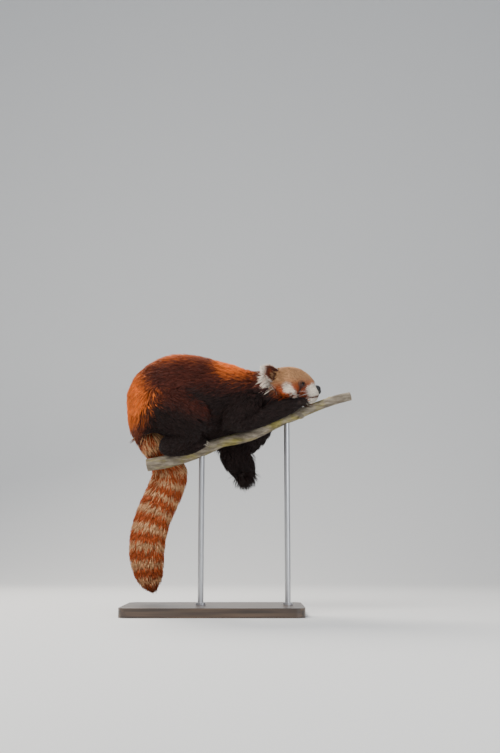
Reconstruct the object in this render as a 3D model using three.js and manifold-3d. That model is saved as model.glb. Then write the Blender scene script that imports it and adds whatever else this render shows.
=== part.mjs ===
// A life-size red panda that rests along a cut length of branch, chin on a forepaw, on a plain display stand.
// Millimetres, +X towards the head, +Y to the animal's left, +Z up.
// The origin is the centre of the base's underside.
// Each part is a closed solid of its own, and neighbours meet face to face with a gap of GAP between them.
import * as THREE from "three";
import { mergeVertices } from "three/addons/utils/BufferGeometryUtils.js";
import Module from "manifold-3d";

const wasm = await Module();
wasm.setup();
const { Vector3, CatmullRomCurve3 } = THREE;

// Driving dimensions
const GAP = 0.3; // between parts that touch
const COAT = 13; // how far the tips of the long coat stand over the core of a part
const SINK = 6; // how deep the root of a lock sits in the core
const SHOULDER = new Vector3(92, 0, 522); // middle of the body between the shoulders
const HIP = new Vector3(-148, 0, 496); // middle of the body between the hips
const SKULL = new Vector3(180, 0, 557); // middle of the braincase
const HEAD_PITCH = THREE.MathUtils.degToRad(12); // nose up
const HEAD_YAW = THREE.MathUtils.degToRad(7); // nose to the animal's right
const EYE_RADIUS = 8;
const EYE_SPREAD = 31.5; // each eye's centre from the middle plane
const TAIL_WIDTH = 88;
const BASE = { length: 430, width: 250, height: 22, corner: 24 };
const ROD_RADIUS = 7;
const ROD_STATIONS = [-32, 178]; // where the two rods stand along the branch

// Materials, from the photograph
const paint = (color, roughness, metalness = 0) =>
  new THREE.MeshStandardMaterial({ color, roughness, metalness });
const rust = paint(0x9c3514, 0.9);
const ginger = paint(0xb9743f, 0.9);
const umber = paint(0x23110c, 0.9);
const cream = paint(0xe6d6b4, 0.9);
const ringed = paint(0xa2522a, 0.9);
const eyeBrown = paint(0x160c08, 0.15);
const noseBlack = paint(0x0c0b0c, 0.4);
const bark = paint(0x6d6048, 0.85);
const lacquer = paint(0x2c2a28, 0.5);
const steel = paint(0x8d8f92, 0.3, 1);

// A small seeded generator, so that every build draws the same numbers
function seeded(seed) {
  let state = seed >>> 0;
  return () => {
    state = (state * 1664525 + 1013904223) >>> 0;
    return state / 4294967296;
  };
}

// A closed three.js geometry as a solid that can be joined and cut
function solidOf(geometry) {
  const bare = geometry.clone();
  for (const name of Object.keys(bare.attributes)) if (name !== "position") bare.deleteAttribute(name);
  const merged = mergeVertices(bare, 1e-4);
  return new wasm.Manifold(
    new wasm.Mesh({
      numProp: 3,
      vertProperties: new Float32Array(merged.attributes.position.array),
      triVerts: new Uint32Array(merged.index.array),
    }),
  );
}

const join = (solids) => solids.reduce((sum, next) => sum.add(next));

// The largest closed surface of a solid, without scraps
function largest(solid) {
  const pieces = solid.decompose();
  return pieces.reduce((best, next) => (next.volume() > best.volume() ? next : best));
}

// Rings of points, each a list of Vector3, as a closed geometry. An end that is one point is a tip.
function ringsToGeometry(rings) {
  const positions = [];
  const starts = [];
  for (const ring of rings) {
    starts.push(positions.length / 3);
    for (const p of ring) positions.push(p.x, p.y, p.z);
  }
  const index = [];
  for (let i = 0; i + 1 < rings.length; i++) {
    const a = rings[i].length;
    const b = rings[i + 1].length;
    const sides = Math.max(a, b);
    for (let k = 0; k < sides; k++) {
      const next = (k + 1) % sides;
      const a0 = starts[i] + (a > 1 ? k : 0);
      const a1 = starts[i] + (a > 1 ? next : 0);
      const b0 = starts[i + 1] + (b > 1 ? k : 0);
      const b1 = starts[i + 1] + (b > 1 ? next : 0);
      if (a > 1) index.push(a0, a1, b0);
      if (b > 1) index.push(a1, b1, b0);
    }
  }
  const closeFlat = (ring, start, turn) => {
    for (let k = 1; k + 1 < ring.length; k++) {
      if (turn) index.push(start, start + k + 1, start + k);
      else index.push(start, start + k, start + k + 1);
    }
  };
  closeFlat(rings[0], starts[0], true);
  closeFlat(rings[rings.length - 1], starts[rings.length - 1], false);
  const geometry = new THREE.BufferGeometry();
  geometry.setAttribute("position", new THREE.Float32BufferAttribute(positions, 3));
  geometry.setIndex(index);
  return geometry;
}

// A solid from rings, whichever way round the rings run
function ringSolid(rings) {
  const made = solidOf(ringsToGeometry(rings));
  if (made.volume() > 0) return made;
  return solidOf(ringsToGeometry(rings.map((ring) => [...ring].reverse())));
}

// One section of a form: its middle, and how far it reaches to the side, up and down
const section = (x, y, z, side, up, down = up) => ({
  middle: new Vector3(x, y, z),
  reach: new Vector3(side, up, down),
});

// A rounded body swept through its sections, such as a torso, a limb or a tail
class Form {
  constructor(sections, { sides = 16, steps = 12, caps = [0.12, 0.12], coat = 0 } = {}) {
    this.spine = new CatmullRomCurve3(sections.map((s) => s.middle), false, "catmullrom", 0.5);
    this.reaches = new CatmullRomCurve3(sections.map((s) => s.reach), false, "catmullrom", 0.5);
    this.across = new Vector3(0, 1, 0);
    this.sides = sides;
    this.steps = steps;
    this.caps = caps;
    this.coat = coat;
    this.length = this.spine.getLength();
  }
  // 1 along the middle, falling to 0 at a rounded end
  rounding(u) {
    const [start, end] = this.caps;
    let value = 1;
    if (start > 0 && u < start) value *= Math.sqrt(Math.max(0, 1 - (1 - u / start) ** 2));
    if (end > 0 && u > 1 - end) value *= Math.sqrt(Math.max(0, 1 - (1 - (1 - u) / end) ** 2));
    return value;
  }
  frame(u) {
    const t = Math.min(1, Math.max(0, u));
    const along = this.spine.getTangent(t);
    const middle = this.spine.getPoint(t).addScaledVector(along, (u - t) * this.length);
    const side = this.across.clone().addScaledVector(along, -this.across.dot(along)).normalize();
    const up = side.clone().cross(along);
    const reach = this.reaches.getPoint(t);
    return { middle, along, side, up, reach };
  }
  // The point at a share u of the length and an angle round it, 0 on the side and a quarter turn up.
  // It lies off outside the sections, which reach to the tips of the coat, once they are made depth smaller.
  at(u, angle, off = 0, depth = 0) {
    const { middle, side, up, reach } = this.frame(u);
    const round = this.rounding(u);
    const out = (full) => Math.max(1, (full - depth) * round + off);
    const vertical = Math.sin(angle) > 0 ? reach.y : reach.z;
    middle.addScaledVector(side, Math.cos(angle) * out(reach.x));
    return middle.addScaledVector(up, Math.sin(angle) * out(vertical));
  }
  stations() {
    const [start, end] = this.caps;
    const list = [];
    const bends = [0, 0.3, 0.75];
    if (start > 0) for (const b of bends) list.push(start * (1 - Math.sqrt(1 - b * b)) || 0);
    for (let i = 0; i <= this.steps; i++) list.push(start + ((1 - start - end) * i) / this.steps);
    if (end > 0) for (const b of [...bends].reverse()) list.push(1 - end * (1 - Math.sqrt(1 - b * b)));
    return list;
  }
  // The core, which the locks of the coat stand over, or the length of it between two shares, with flat ends
  solid(grow = 0, from = 0, to = 1) {
    const start = from > 0 ? from - grow / this.length : 0;
    const end = to < 1 ? to + grow / this.length : 1;
    const between = this.stations().filter((u) => u > start + 0.01 && u < end - 0.01);
    const rings = [start, ...between, end].map((u) => {
      const roundEnd = (u === 0 && this.caps[0] > 0) || (u === 1 && this.caps[1] > 0);
      if (roundEnd) {
        const { middle, along } = this.frame(u);
        return [middle.addScaledVector(along, u === 0 ? -grow : grow)];
      }
      const ring = [];
      for (let k = 0; k < this.sides; k++) {
        ring.push(this.at(u, (2 * Math.PI * k) / this.sides, grow, this.coat));
      }
      return ring;
    });
    return ringSolid(rings);
  }
}

// A lock of long hair: flat, tapered and bent along its path, which gives a middle and the outward
// direction at each share of its length. Its section is a flat underside and a ridge.
const LOCK_RINGS = [
  { share: 0, width: 0.3 },
  { share: 0.44, width: 1 },
  { share: 0.76, width: 0.72 },
];
const TIP_GROWTH = 8; // how many times over a grown lock is longer at its tip and wider at its edges,
const EDGE_GROWTH = 9; // so that it also clears the thin taper there
function lock(path, { width, thick, grow = 0 }) {
  const step = 0.12;
  const rings = LOCK_RINGS.map((ring) => {
    const { middle, outward } = path(ring.share);
    const along = path(ring.share + step).middle.sub(middle).normalize();
    const side = outward.clone().cross(along).normalize();
    const over = along.clone().cross(side);
    const wide = (width * ring.width) / 2 + EDGE_GROWTH * grow;
    const under = middle.clone().addScaledVector(over, -(thick * ring.width) / 2 - grow);
    return [
      under.clone().addScaledVector(side, wide),
      middle.clone().addScaledVector(over, (thick * ring.width) / 2 + grow),
      under.clone().addScaledVector(side, -wide),
    ];
  });
  const tip = path(1).middle;
  const end = tip.clone().sub(path(1 - step).middle).normalize();
  rings.push([tip.addScaledVector(end, grow * TIP_GROWTH)]);
  return ringSolid(rings);
}

// The path of a lock between two points, bowed outwards on its way
function bowed(root, tip, outward, bow) {
  const control = root.clone().lerp(tip, 0.5).addScaledVector(outward, 2 * bow);
  const curve = new THREE.QuadraticBezierCurve3(root, control, tip);
  return (share) => ({ middle: curve.getPoint(share), outward });
}

// The path of a lock that grows from a form: it rises from its root to the tips of the coat
function alongForm(form, { u, angle, run, swing, stand }) {
  const depth = form.coat + SINK;
  const height = (share) => stand * share - depth * (1 - share) ** 1.7;
  return (share) => {
    const place = [u + (run / form.length) * share, angle + swing * share];
    const middle = form.at(...place, height(share));
    const outward = form.at(...place, height(share) + 1).sub(middle);
    return { middle, outward };
  };
}

// Rows of locks along a form, each row set between the locks of the one before. A lock is as wide as its
// share of the way round there, and as long as lap times the distance between rows.
function lockRows(form, { seed, from, to, rows, around, lap, thick, droop = 0, stand = 0, keep }) {
  const run = (lap * (to - from) * form.length) / (rows - 1);
  const draw = seeded(seed);
  const spread = (amount) => amount * (2 * draw() - 1);
  const made = [];
  for (let row = 0; row < rows; row++) {
    for (let k = 0; k < around; k++) {
      const u = from + ((to - from) * row) / (rows - 1) + spread(8) / form.length;
      const angle = (2 * Math.PI * (k + 0.5 * (row % 2) + spread(0.16))) / around;
      const fall = -Math.sign(Math.cos(angle)) * Math.abs(Math.cos(angle)) * droop;
      const shape = {
        u,
        angle,
        run: run * (1 + spread(0.14)),
        swing: fall + spread(0.08),
        stand: stand + spread(2),
      };
      const reach = form.frame(u).reach;
      const share = (Math.PI * (2 * reach.x + reach.y + reach.z)) / (2 * around);
      const size = { width: share * (0.96 + spread(0.06)), thick };
      if (keep && !keep(angle)) continue;
      made.push((grow = 0) => lock(alongForm(form, shape), { ...size, grow }));
    }
  }
  return made;
}

// An ellipsoid at a place, with its own axes turned
function ellipsoid(middle, reach, { turn = new THREE.Euler(), rings = 6, sides = rings * 2, grow = 0 } = {}) {
  const geometry = new THREE.SphereGeometry(1, sides, rings);
  geometry.scale(reach.x + grow, reach.y + grow, reach.z + grow);
  geometry.applyMatrix4(new THREE.Matrix4().makeRotationFromEuler(turn));
  geometry.translate(middle.x, middle.y, middle.z);
  return solidOf(geometry);
}

function box(middle, size) {
  const geometry = new THREE.BoxGeometry(size.x, size.y, size.z);
  geometry.translate(middle.x, middle.y, middle.z);
  return solidOf(geometry);
}

// The head's own frame: its origin is the middle of the braincase, and its X axis runs level with the palate
const headFrame = new THREE.Matrix4()
  .makeRotationFromEuler(new THREE.Euler(0, -HEAD_PITCH, -HEAD_YAW, "ZYX"))
  .setPosition(SKULL);

function moved(solid, matrix) {
  const mesh = solid.getMesh();
  const stride = mesh.numProp;
  const positions = new Float32Array((mesh.vertProperties.length / stride) * 3);
  for (let i = 0; i * stride < mesh.vertProperties.length; i++) {
    const p = new Vector3(...mesh.vertProperties.subarray(i * stride, i * stride + 3)).applyMatrix4(matrix);
    positions.set([p.x, p.y, p.z], i * 3);
  }
  const whole = new wasm.Mesh({ numProp: 3, vertProperties: positions, triVerts: mesh.triVerts });
  return new wasm.Manifold(whole);
}

// The branch
const branchForm = new Form(
  [
    section(-166, 2, 357, 16, 16),
    section(-118, -1, 366, 16.5, 16.5),
    section(-66, -3, 379, 15, 15),
    section(-24, 0, 397, 15.5, 15.5),
    section(14, 2, 414, 14.5, 14.5),
    section(52, 1, 422, 14.5, 14),
    section(90, -2, 431, 13.5, 13.5),
    section(126, -2, 449, 14, 14),
    section(166, 0, 467, 13, 13),
    section(212, 2, 486, 12.5, 12),
    section(258, 0, 505, 12, 12),
    section(300, -3, 519, 11.5, 11.5),
    section(338, -2, 529, 11, 11),
  ],
  { sides: 12, steps: 19, caps: [0, 0] },
);

// Torso: from the base of the neck back over the hump to the root of the tail
const torsoForm = new Form(
  [
    section(SHOULDER.x + 44, 0, SHOULDER.z + 8, 56, 62, 52),
    section(SHOULDER.x, 0, SHOULDER.z, 71, 74, 70),
    section(48, 0, 521, 84, 87, 88),
    section(0, 0, 520, 93, 100, 100),
    section(-50, 0, 519, 98, 115, 112),
    section(-100, 0, 513, 98, 121, 112),
    section(HIP.x, 0, HIP.z, 90, 98, 82),
    section(-179, 0, 463, 66, 42, 40),
    section(-193, 0, 430, 38, 20, 22),
  ],
  { sides: 22, steps: 12, caps: [0.14, 0.1], coat: COAT },
);

const neckForm = new Form(
  [
    section(78, 0, 526, 58, 58, 58),
    section(112, 0, 532, 64, 64, 60),
    section(145, 0, 543, 62, 57, 58),
    section(180, -2, 552, 52, 46, 48),
  ],
  { sides: 18, steps: 6, caps: [0.2, 0.2], coat: 8 },
);

// Head, in its own frame
const headForm = new Form(
  [
    section(-50, 0, 2, 38, 30, 30),
    section(-30, 0, 2, 58, 43, 43),
    section(-6, 0, 1, 66, 48, 46),
    section(17, 0, -3, 61, 46, 46),
    section(35, 0, -13, 43, 40, 40),
    section(47, 0, -22, 29, 32, 33),
    section(58, 0, -31, 26, 26, 25),
    section(68, 0, -34, 21, 18, 19),
    section(73, 0, -34, 16, 12, 14),
  ],
  { sides: 20, steps: 9, caps: [0.16, 0.08] },
);

const hindThigh = (side) =>
  new Form(
    [
      section(-158, side * 48, 508, 36, 42, 40),
      section(-122, side * 70, 496, 36, 62, 62),
      section(-78, side * 84, 476, 34, 62, 60),
      section(-38, side * 84, 461, 28, 44, 42),
      section(-17, side * 80, 456, 20, 28, 28),
    ],
    { sides: 14, steps: 7, caps: [0.2, 0.16], coat: 6 },
  );

const hindShank = (side) =>
  new Form(
    [
      section(-34, side * 80, 449, 26, 28),
      section(-70, side * 70, 424, 28, 30),
      section(-104, side * 54, 404, 24, 26),
      section(-124, side * 46, 396, 20, 22),
    ],
    { sides: 12, steps: 4, caps: [0.2, 0.2] },
  );

const hindFoot = (side) =>
  new Form(
    [
      section(-128, side * 44, 394, 20, 20),
      section(-96, side * 38, 396, 23, 22, 20),
      section(-60, side * 33, 402, 26, 22, 20),
      section(-36, side * 30, 410, 25, 18, 18),
      section(-24, side * 29, 413, 20, 13, 14),
    ],
    { sides: 12, steps: 6, caps: [0.16, 0.12] },
  );

const armReaching = [
  new Form(
    [
      section(104, -40, 526, 30, 34),
      section(76, -62, 492, 28, 36),
      section(48, -74, 462, 25, 32),
      section(34, -74, 450, 19, 22),
    ],
    { sides: 12, steps: 6, caps: [0.2, 0.2] },
  ),
  new Form(
    [
      section(26, -72, 450, 21, 22),
      section(70, -64, 458, 26, 27),
      section(118, -50, 472, 25, 25),
      section(158, -38, 489, 24, 23),
      section(190, -28, 504, 26, 20, 18),
      section(216, -20, 514, 22, 15, 14),
    ],
    { sides: 12, steps: 7, caps: [0.16, 0.12] },
  ),
];

const armHanging = [
  new Form(
    [
      section(112, 36, 524, 32, 36),
      section(104, 58, 490, 38, 46),
      section(88, 70, 456, 38, 50),
      section(62, 72, 428, 34, 46),
      section(48, 70, 414, 26, 36),
    ],
    { sides: 12, steps: 5, caps: [0.18, 0.2], coat: 9 },
  ),
  new Form(
    [
      section(50, 70, 436, 34, 40),
      section(49, 68, 412, 36, 43),
      section(56, 66, 384, 34, 40),
      section(67, 64, 361, 30, 34, 34),
      section(73, 62, 342, 24, 24, 26),
    ],
    { sides: 12, steps: 5, caps: [0.2, 0.16], coat: 9 },
  ),
];

const half = TAIL_WIDTH / 2;
const tailForm = new Form(
  [
    section(-184, 2, 476, 40, 34),
    section(-166, 22, 432, 40, 38),
    section(-126, 52, 384, 0.88 * half, 0.88 * half),
    section(-113, 58, 346, half, half),
    section(-124, 56, 300, half, half),
    section(-146, 46, 250, half, half),
    section(-162, 38, 196, half, half),
    section(-166, 32, 142, 0.96 * half, 0.96 * half),
    section(-160, 30, 96, 0.8 * half, 0.8 * half),
    section(-151, 30, 64, 0.5 * half, 0.5 * half),
  ],
  { sides: 12, steps: 14, caps: [0.06, 0.08], coat: COAT },
);

// Parts of the head, in the head's frame
const eyeMiddle = (side) => new Vector3(35, side * EYE_SPREAD, -13);
const eyeOutward = (side) => new Vector3(0.68, side * 0.72, 0.06).normalize();
const ball = (radius) => new Vector3(radius, radius, radius);
const eyeball = (side, grow = 0) => ellipsoid(eyeMiddle(side), ball(EYE_RADIUS), { grow });

// The lids: a hood round the eyeball with an almond opening
const LID = 2.2; // how thick the lids are
const lids = (side, grow) => ellipsoid(eyeMiddle(side), ball(EYE_RADIUS + LID), { grow });

function lidOpening(side) {
  const outward = eyeOutward(side);
  const middle = eyeMiddle(side).addScaledVector(outward, EYE_RADIUS + 1);
  const turn = new THREE.Euler(0.18 * side, 0, Math.atan2(outward.y, outward.x), "ZYX");
  return ellipsoid(middle, new Vector3(5.5, 7.6, 4.2), { turn });
}

function nose(grow = 0) {
  const pad = ellipsoid(new Vector3(70, 0, -27), new Vector3(9, 12, 9), { rings: 6, sides: 10, grow });
  const tip = ellipsoid(new Vector3(72, 0, -33), new Vector3(7, 7, 8), { rings: 5, sides: 8, grow });
  return pad.add(tip);
}

function nostrils() {
  const reach = new Vector3(4.5, 2.6, 2.9);
  const both = [-1, 1].map((side) => {
    const turn = new THREE.Euler(0.5 * side, 0, 0);
    return ellipsoid(new Vector3(79, side * 5.4, -28), reach, { turn, rings: 5 });
  });
  return join(both);
}

const chin = (grow) =>
  ellipsoid(new Vector3(42, 0, -53), new Vector3(27, 20, 12), { turn: new THREE.Euler(0, -0.12, 0), grow });

// The broad cheeks, which make the face wider low down than at the crown
function cheeks(grow) {
  const reach = new Vector3(30, 22, 26);
  const both = [-1, 1].map((side) => {
    const turn = new THREE.Euler(0.3 * side, 0, -0.3 * side);
    return ellipsoid(new Vector3(8, side * 44, -20), reach, { turn, grow });
  });
  return join(both);
}

function whiskerPads(grow) {
  const reach = new Vector3(17, 14, 13);
  return join([-1, 1].map((side) => ellipsoid(new Vector3(57, side * 13, -36), reach, { grow })));
}

// The line of the mouth: a thin groove round the front of the muzzle, no deeper than the lips
function mouthLine() {
  const line = new CatmullRomCurve3([
    new Vector3(24, 0, -42),
    new Vector3(36, 0, -47),
    new Vector3(56, 0, -49),
    new Vector3(82, 0, -47),
  ]);
  const thick = 0.9;
  const points = line.getPoints(4);
  const shape = new THREE.Shape([
    ...points.map((p) => new THREE.Vector2(p.x, p.z + thick)),
    ...points.reverse().map((p) => new THREE.Vector2(p.x, p.z - thick)),
  ]);
  const slab = new THREE.ExtrudeGeometry(shape, { depth: 90, bevelEnabled: false });
  slab.applyMatrix4(new THREE.Matrix4().makeRotationX(Math.PI / 2));
  slab.translate(0, 45, 0);
  const lip = box(new Vector3(76, 0, -43), new Vector3(14, 1.4, 10));
  const gums = ellipsoid(new Vector3(42, 0, -46), new Vector3(31, 16, 15), { rings: 5 });
  return solidOf(slab).add(lip).subtract(gums);
}

// An ear: a broad leaf with a rounded point, and a cup hollowed out of its front
const earForm = new Form(
  [
    section(0, 0, -16, 23, 9, 13),
    section(0, 0, 6, 24, 9, 13),
    section(-1, 0, 26, 21, 7, 10),
    section(-3, 0, 40, 13, 5, 8),
    section(-4, 0, 48, 6, 3, 5),
  ],
  { sides: 12, steps: 5, caps: [0, 0.12] },
);
const earRoot = (side) => new Vector3(-24, side * 45, 22);
function earMatrix(side) {
  const out = new Vector3(-0.38, side * 0.86, 0.32).normalize(); // root to tip
  const open = new Vector3(0.82, side * 0.5, -0.12); // the way the cup faces
  open.addScaledVector(out, -open.dot(out)).normalize();
  const wide = out.clone().cross(open);
  return new THREE.Matrix4().makeBasis(open, wide, out).setPosition(earRoot(side));
}

function ear(side, grow) {
  const cup = ellipsoid(new Vector3(11, 0, 19), new Vector3(15, 16, 22), { rings: 5, grow: -grow });
  return moved(earForm.solid(grow).subtract(cup), headFrame.clone().multiply(earMatrix(side)));
}

// Claws: short hooks set in the toes
function claw(root, heading, length, drop) {
  const radius = 2.6;
  const flat = heading.clone().normalize();
  const side = new Vector3(0, 0, 1).cross(flat).normalize();
  const up = flat.clone().cross(side).normalize();
  const rings = [0, 0.55].map((s) => {
    const middle = root
      .clone()
      .addScaledVector(flat, length * s)
      .addScaledVector(up, -drop * s * s);
    const ring = [];
    for (let k = 0; k < 4; k++) {
      const angle = (Math.PI * k) / 2;
      ring.push(
        middle
          .clone()
          .addScaledVector(side, Math.cos(angle) * radius * (1 - 0.75 * s))
          .addScaledVector(up, Math.sin(angle) * radius * (1.3 - 1.0 * s)),
      );
    }
    return ring;
  });
  rings.push([root.clone().addScaledVector(flat, length).addScaledVector(up, -drop)]);
  return ringSolid(rings);
}

// Toes side by side across a paw's front, each with a claw
function toes(middle, heading, spread, { count = 5, reach = 9, length = 15, drop = 6, grow = 0 } = {}) {
  const flat = heading.clone().normalize();
  const made = [];
  for (let k = 0; k < count; k++) {
    const share = (k - (count - 1) / 2) / ((count - 1) / 2);
    const at = middle
      .clone()
      .addScaledVector(spread, share)
      .addScaledVector(flat, -5 * share * share);
    made.push(ellipsoid(at, ball(reach), { rings: 4, sides: 6, grow }));
    made.push(claw(at.clone().addScaledVector(flat, reach * 0.6), flat, length + grow, drop));
  }
  return join(made);
}

const headSolid = (grow = 0) => {
  let made = join([
    headForm.solid(grow),
    whiskerPads(grow),
    cheeks(grow),
    chin(grow),
    lids(-1, grow),
    lids(1, grow),
  ]);
  if (grow) return moved(made, headFrame);
  made = made.subtract(mouthLine()).subtract(nose(GAP));
  for (const side of [-1, 1]) made = made.subtract(eyeball(side, GAP)).subtract(lidOpening(side));
  return moved(made, headFrame);
};

const hindLeg = (side, grow = 0) =>
  join([
    hindThigh(side).solid(grow),
    hindShank(side).solid(grow),
    hindFoot(side).solid(grow),
    toes(
      new Vector3(-29, side * 29, 411),
      new Vector3(0.93, -side * 0.1, 0.1),
      new Vector3(2, side * 18, -8),
      { grow },
    ),
  ]);

const reachingArm = (grow = 0) =>
  join([
    ...armReaching.map((form) => form.solid(grow)),
    toes(new Vector3(214, -21, 512), new Vector3(0.85, 0.2, -0.1), new Vector3(-3, 17, 5), { grow }),
  ]);

const hangingArm = (grow = 0) =>
  join([
    ...armHanging.map((form) => form.solid(grow)),
    toes(new Vector3(75, 62, 334), new Vector3(0.35, 0, -0.9), new Vector3(6, 20, 4), { grow }),
  ]);

// The long coat, as locks that overlap along its lie
const torsoLocks = lockRows(torsoForm, {
  seed: 11,
  from: 0.12,
  to: 0.78,
  rows: 5,
  around: 8,
  lap: 1.35,
  thick: 8,
  droop: 0.12,
});
const neckLocks = lockRows(neckForm, {
  seed: 17,
  from: 0.72,
  to: 0.4,
  rows: 2,
  around: 9,
  lap: 1.2,
  thick: 6,
  keep: (angle) => Math.sin(angle) > -0.5,
});
const thighLocks = (side) =>
  lockRows(hindThigh(side), {
    seed: 31 + side,
    from: 0.3,
    to: 0.66,
    rows: 2,
    around: 5,
    lap: 1,
    thick: 6,
    keep: (angle) => side * Math.cos(angle) > 0.1,
  });
const hangingLocks = [
  ...lockRows(armHanging[0], {
    seed: 41,
    from: 0.35,
    to: 0.65,
    rows: 2,
    around: 5,
    lap: 1,
    thick: 7,
    keep: (angle) => Math.cos(angle) > 0,
  }),
  ...lockRows(armHanging[1], {
    seed: 43,
    from: 0.45,
    to: 0.72,
    rows: 2,
    around: 4,
    lap: 1.2,
    thick: 7,
    stand: 5,
  }),
];

// The tail in three lengths, each nearly straight
const TAIL_JOINS = [0, 0.27, 0.62, 1];
const tailRows = { around: 5, lap: 1.25, thick: 7, stand: 2 };
const tailLocks = [
  lockRows(tailForm, { ...tailRows, seed: 23, from: 0.1, to: 0.2, rows: 2 }),
  lockRows(tailForm, { ...tailRows, seed: 24, from: 0.32, to: 0.5, rows: 3 }),
  lockRows(tailForm, { ...tailRows, seed: 25, from: 0.65, to: 0.88, rows: 3 }),
];
const tailParts = ["tail_root", "tail_middle", "tail_end"].map((name, i) => ({
  name,
  core: (g) => tailForm.solid(g, TAIL_JOINS[i], TAIL_JOINS[i + 1]),
  locks: tailLocks[i],
  material: ringed,
}));

// The ruff: locks that sweep back and out from each cheek
function ruffLocks() {
  const made = [];
  for (const side of [-1, 1]) {
    for (let k = 0; k < 5; k++) {
      const turn = 0.5 - 0.5 * k; // from level with the eye down to the jaw
      const outward = new Vector3(0, side * Math.cos(turn), Math.sin(turn));
      const root = new Vector3(-2, side * (38 + 15 * Math.cos(turn)), -20 + 18 * Math.sin(turn));
      const tip = root.clone().add(new Vector3(-44, 0, -5)).addScaledVector(outward, 13);
      const path = bowed(root, tip, outward, 5);
      made.push((grow = 0) => moved(lock(path, { width: 24, thick: 7, grow }), headFrame));
    }
  }
  return made;
}

// The fringe of an ear: short locks that lie out along both edges, and long ones that stream down from
// the lower edge. A place says how far along the ear a lock is rooted, and how far it runs out and down.
function fringeLocks(side) {
  const places = [
    { edge: 1, root: 4, along: 12, beyond: 14 },
    { edge: 1, root: 22, along: 15, beyond: 4 },
    { edge: -1, root: 4, along: 22, beyond: 0 },
    { edge: -1, root: 22, along: 22, beyond: -5 },
    { edge: 1, root: -6, along: 4, beyond: 34 },
  ];
  const frame = headFrame.clone().multiply(earMatrix(side));
  return places.map(({ edge, root, along, beyond }) => {
    const edgewise = edge * side;
    const start = new Vector3(-2, edgewise * 14, root);
    const tip = new Vector3(-9, edgewise * (20 + beyond), root + along);
    const path = bowed(start, tip, new Vector3(1, 0, 0), 3);
    return (grow = 0) => moved(lock(path, { width: 16, thick: 5, grow }), frame);
  });
}

// Each flesh part in the order in which it gives way: a part is cut clear of all that come before it
const branchSolid = (grow = 0) => branchForm.solid(grow);
const flesh = [
  { name: "torso", core: (g) => torsoForm.solid(g), locks: torsoLocks, material: rust },
  { name: "neck", core: (g) => neckForm.solid(g), locks: neckLocks, material: rust },
  { name: "head", core: headSolid, locks: ruffLocks(), material: ginger },
  { name: "hindleg_right", core: (g) => hindLeg(-1, g), locks: thighLocks(-1), material: umber },
  { name: "hindleg_left", core: (g) => hindLeg(1, g), locks: thighLocks(1), material: umber },
  { name: "foreleg_right", core: reachingArm, locks: [], material: umber },
  { name: "foreleg_left", core: hangingArm, locks: hangingLocks, material: umber },
  ...tailParts,
  { name: "ear_right", core: (g) => ear(-1, g), locks: fringeLocks(-1), material: cream },
  { name: "ear_left", core: (g) => ear(1, g), locks: fringeLocks(1), material: cream },
];
const inHead = new Set(["head", "ear_right", "ear_left"]);

// The locks of a part that stand mostly free of what isn't theirs. Where one meets that, it is cut clear.
const MOSTLY_FREE = 0.85;
function freeLocks(locks, others) {
  return locks.filter((make) => {
    const whole = make();
    return whole.subtract(others).volume() > MOSTLY_FREE * whole.volume();
  });
}

function fleshSolids() {
  const made = new Map();
  const grown = flesh.map((part) => part.core(GAP));
  let before = branchSolid(GAP); // the cores of the parts so far
  let coatBefore = branchSolid(GAP); // their locks
  flesh.forEach((part, i) => {
    const others = join([branchSolid(GAP), ...grown.filter((_, j) => j !== i)]);
    const kept = freeLocks(part.locks, others.add(coatBefore));
    let whole = part.core(0).subtract(before);
    if (kept.length) {
      const coat = join(kept.map((make) => make())).subtract(others);
      whole = whole.add(coat);
    }
    made.set(part.name, largest(whole.subtract(coatBefore)));
    if (kept.length) coatBefore = coatBefore.add(join(kept.map((make) => make(GAP))));
    before = before.add(grown[i]);
  });
  return made;
}

// A plinth with rounded corners
function basePlate() {
  const { length, width, height, corner } = BASE;
  const x = length / 2 - corner;
  const y = width / 2 - corner;
  const outline = new THREE.Shape();
  outline.absarc(x, y, corner, 0, Math.PI / 2);
  outline.absarc(-x, y, corner, Math.PI / 2, Math.PI);
  outline.absarc(-x, -y, corner, Math.PI, 1.5 * Math.PI);
  outline.absarc(x, -y, corner, 1.5 * Math.PI, 2 * Math.PI);
  const slab = { depth: height, bevelEnabled: false, curveSegments: 6 };
  return solidOf(new THREE.ExtrudeGeometry(outline, slab));
}

// A rod from the base up into the underside of the branch
function rod(station) {
  let nearest = branchForm.frame(0).middle;
  for (let i = 0; i <= 200; i++) {
    const { middle } = branchForm.frame(i / 200);
    if (Math.abs(middle.x - station) < Math.abs(nearest.x - station)) nearest = middle;
  }
  const foot = BASE.height + GAP;
  const height = nearest.z - foot;
  const bar = new THREE.CylinderGeometry(ROD_RADIUS, ROD_RADIUS, height, 14);
  bar.rotateX(Math.PI / 2);
  bar.translate(nearest.x, nearest.y, foot + height / 2);
  const collar = new THREE.CylinderGeometry(ROD_RADIUS + 5, ROD_RADIUS + 5, 6, 18);
  collar.rotateX(Math.PI / 2);
  collar.translate(nearest.x, nearest.y, foot + 3);
  return solidOf(bar).add(solidOf(collar)).subtract(branchSolid(GAP));
}

// A solid as a named mesh whose geometry is relative to a place, or to a group's frame
function meshOf(name, solid, material, frame = new THREE.Matrix4()) {
  const local = moved(solid, frame.clone().invert());
  const mesh = local.getMesh();
  const stride = mesh.numProp;
  const positions = new Float32Array((mesh.vertProperties.length / stride) * 3);
  for (let i = 0; i * stride < mesh.vertProperties.length; i++) {
    positions.set(mesh.vertProperties.subarray(i * stride, i * stride + 3), i * 3);
  }
  const geometry = new THREE.BufferGeometry();
  geometry.setAttribute("position", new THREE.BufferAttribute(positions, 3));
  geometry.setIndex(new THREE.BufferAttribute(new Uint32Array(mesh.triVerts), 1));
  geometry.computeVertexNormals();
  const made = new THREE.Mesh(geometry, material);
  made.name = name;
  return made;
}

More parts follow.
